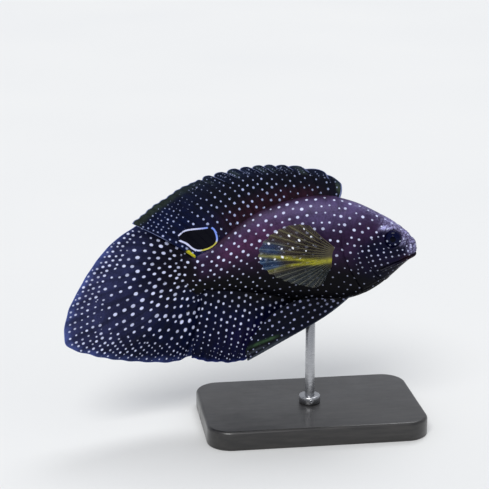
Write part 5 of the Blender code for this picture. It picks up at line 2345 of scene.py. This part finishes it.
@dataclass(frozen=True)
class SoftLight:
    """A broad soft light, aimed at the fish from far away so that the floor is lit evenly."""

    name: str
    place: tuple[float, float, float]
    power: float
    tone: Tone
    spread: float = 0.5

    def build(self, aim: Vector) -> None:
        """Adds the light to the scene.

        Args:
            aim: the place that it shines at, in metres.
        """
        data = bpy.data.lights.new(self.name, "SUN")
        data.angle = self.spread
        data.energy = self.power
        data.color = self.tone
        light = add_object(self.name, data)
        light.location = self.place
        light.rotation_euler = (aim - Vector(self.place)).to_track_quat("-Z", "Y").to_euler()


@dataclass(frozen=True)
class Studio:
    """The floor, the lights and the camera at the photograph's angle, in metres and degrees."""

    azimuth: float = -8.0
    elevation: float = 16.0
    distance: float = 0.62
    view_width: float = 0.196
    target: tuple[float, float, float] = (-0.02926, -0.01069, 0.08132)
    floor_size: float = 8.0
    sensor: float = 36.0
    sky: Tone = (0.9, 0.93, 1.0)
    sky_strength: float = 0.55
    lights: tuple[SoftLight, ...] = (
        SoftLight("key_light", (-0.35, -0.75, 1.0), 1.9, (1.0, 0.99, 0.97)),
        SoftLight("top_light", (0.25, 0.5, 1.2), 0.9, (0.97, 0.98, 1.0)),
    )

    def build(self) -> None:
        """Makes the floor, the lights, the sky's fill and the camera."""
        mesh = bpy.data.meshes.new("floor")
        h = self.floor_size / 2
        mesh.from_pydata([(-h, -h, 0), (h, -h, 0), (h, h, 0), (-h, h, 0)], [], [(0, 1, 2, 3)])
        mesh.materials.append(FloorFinish().material())
        add_object("floor", mesh)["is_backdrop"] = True

        target = Vector(self.target)
        for light in self.lights:
            light.build(target)
        world = bpy.data.worlds.new("studio")
        world.use_nodes = True
        fill = world.node_tree.nodes["Background"]
        NodeTree(world.node_tree).feed(fill, {"Color": self.sky, "Strength": self.sky_strength})
        scene = bpy.context.scene
        scene.world = world
        scene.view_settings.view_transform = "Standard"

        lens = bpy.data.cameras.new("photo_camera")
        lens.lens = self.sensor * self.distance / self.view_width
        lens.sensor_width = self.sensor
        lens.clip_start, lens.clip_end = 0.01, 30.0
        camera = add_object("photo_camera", lens)
        a, e = math.radians(self.azimuth), math.radians(self.elevation)
        back = Vector((math.sin(a) * math.cos(e), -math.cos(a) * math.cos(e), math.sin(e)))
        camera.location = target + back * self.distance
        camera.rotation_euler = (-back).to_track_quat("-Z", "Y").to_euler()
        scene.camera = camera


class Dress(Enum):
    """The fish's spotted finishes."""

    BODY = SpottedFinish(
        name="body_skin",
        ground=srgb(40, 24, 52),
        # The first zone's lilac is partly painted top light on the back, and the third's black partly painted
        # shade under the belly.
        zones=(srgb(72, 61, 98), srgb(74, 40, 72), srgb(1, 1, 5)),
        # The second of more_zones holds pale marks and the painted highlight on the brow.
        more_zones=(srgb(3, 3, 30), srgb(160, 158, 204), srgb(38, 16, 28)),
        frost=0.68,
    )
    DORSAL = SpottedFinish(
        name="dorsal_fin_skin",
        ground=srgb(6, 7, 22),
        zones=(srgb(34, 12, 26), srgb(44, 54, 44), srgb(196, 188, 40)),
        more_zones=(srgb(3, 12, 46), srgb(20, 30, 56), srgb(10, 10, 20)),
        rim=srgb(124, 134, 178),
        spot=srgb(190, 202, 246),
        rim_width=0.36,
        eyespot=Eyespot(),
        streak=srgb(2, 3, 10),
        streak_share=0.3,
    )
    ANAL = SpottedFinish(
        name="anal_fin_skin",
        ground=srgb(0, 5, 36),
        zones=(srgb(1, 1, 6), srgb(12, 9, 48), srgb(30, 40, 92)),
        more_zones=(srgb(1, 2, 9), srgb(10, 10, 20), srgb(10, 10, 20)),
        rim=srgb(70, 84, 170),
        streak=srgb(0, 1, 12),
        streak_share=0.3,
    )
    CAUDAL = SpottedFinish(
        name="caudal_fin_skin",
        ground=srgb(7, 10, 38),
        zones=(srgb(44, 47, 84), srgb(1, 7, 38), srgb(5, 3, 16)),
        more_zones=(srgb(66, 78, 136), srgb(10, 10, 20), srgb(10, 10, 20)),
        rim=srgb(96, 112, 176),
        streak=srgb(2, 4, 20),
    )
    PELVIC = SpottedFinish(
        name="pelvic_fin_skin",
        ground=srgb(1, 4, 22),
        zones=(srgb(1, 1, 5), srgb(52, 76, 50), srgb(80, 88, 96)),
        spot=srgb(196, 202, 244),
        rim=srgb(50, 56, 68),
        rim_width=0.25,
    )

    def material(self) -> bpy.types.Material:
        """The finish's material."""
        return self.value.material()


def make_fins() -> None:
    """Makes every fin with its rays."""
    DorsalFin().build(Dress.DORSAL.material())
    AnalFin().build(Dress.ANAL.material())
    CaudalFin().build(Dress.CAUDAL.material())
    for side, word in SIDES:
        pelvic, pectoral = f"pelvic_{word}", f"pectoral_{word}"
        PelvicFin(f"{pelvic}_skin", (pelvic,), side=side).build(Dress.PELVIC.material())
        PectoralFin(f"{pectoral}_skin", (pectoral,), side=side).build(PectoralFinish().material())


def main() -> None:
    """Builds the fish and its stand in order and reports each piece."""
    logging.basicConfig(level=logging.INFO, format="%(name)s: %(message)s")
    skin = BodySkin().build()
    dress(skin, Dress.BODY.material(), "skin", ["head", "lower_jaw", "trunk", "tail_stalk"])
    for side, word in SIDES:
        eye = Eye(side).build(f"eye_{word}_ball")
        dress(eye, EyeFinish().material(), "eye", [f"eye_{word}"])
    make_fins()
    Stand().build(SatinFinish().material(), SteelFinish().material())
    Studio().build()

    boxes = {"cad": CAD_BOX, "visual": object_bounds()}
    sizes = {word: [[float(c) for c in corner] for corner in box] for word, box in boxes.items()}
    LOG.info("sizes: %s", sizes)


if __name__ == "__main__":
    main()
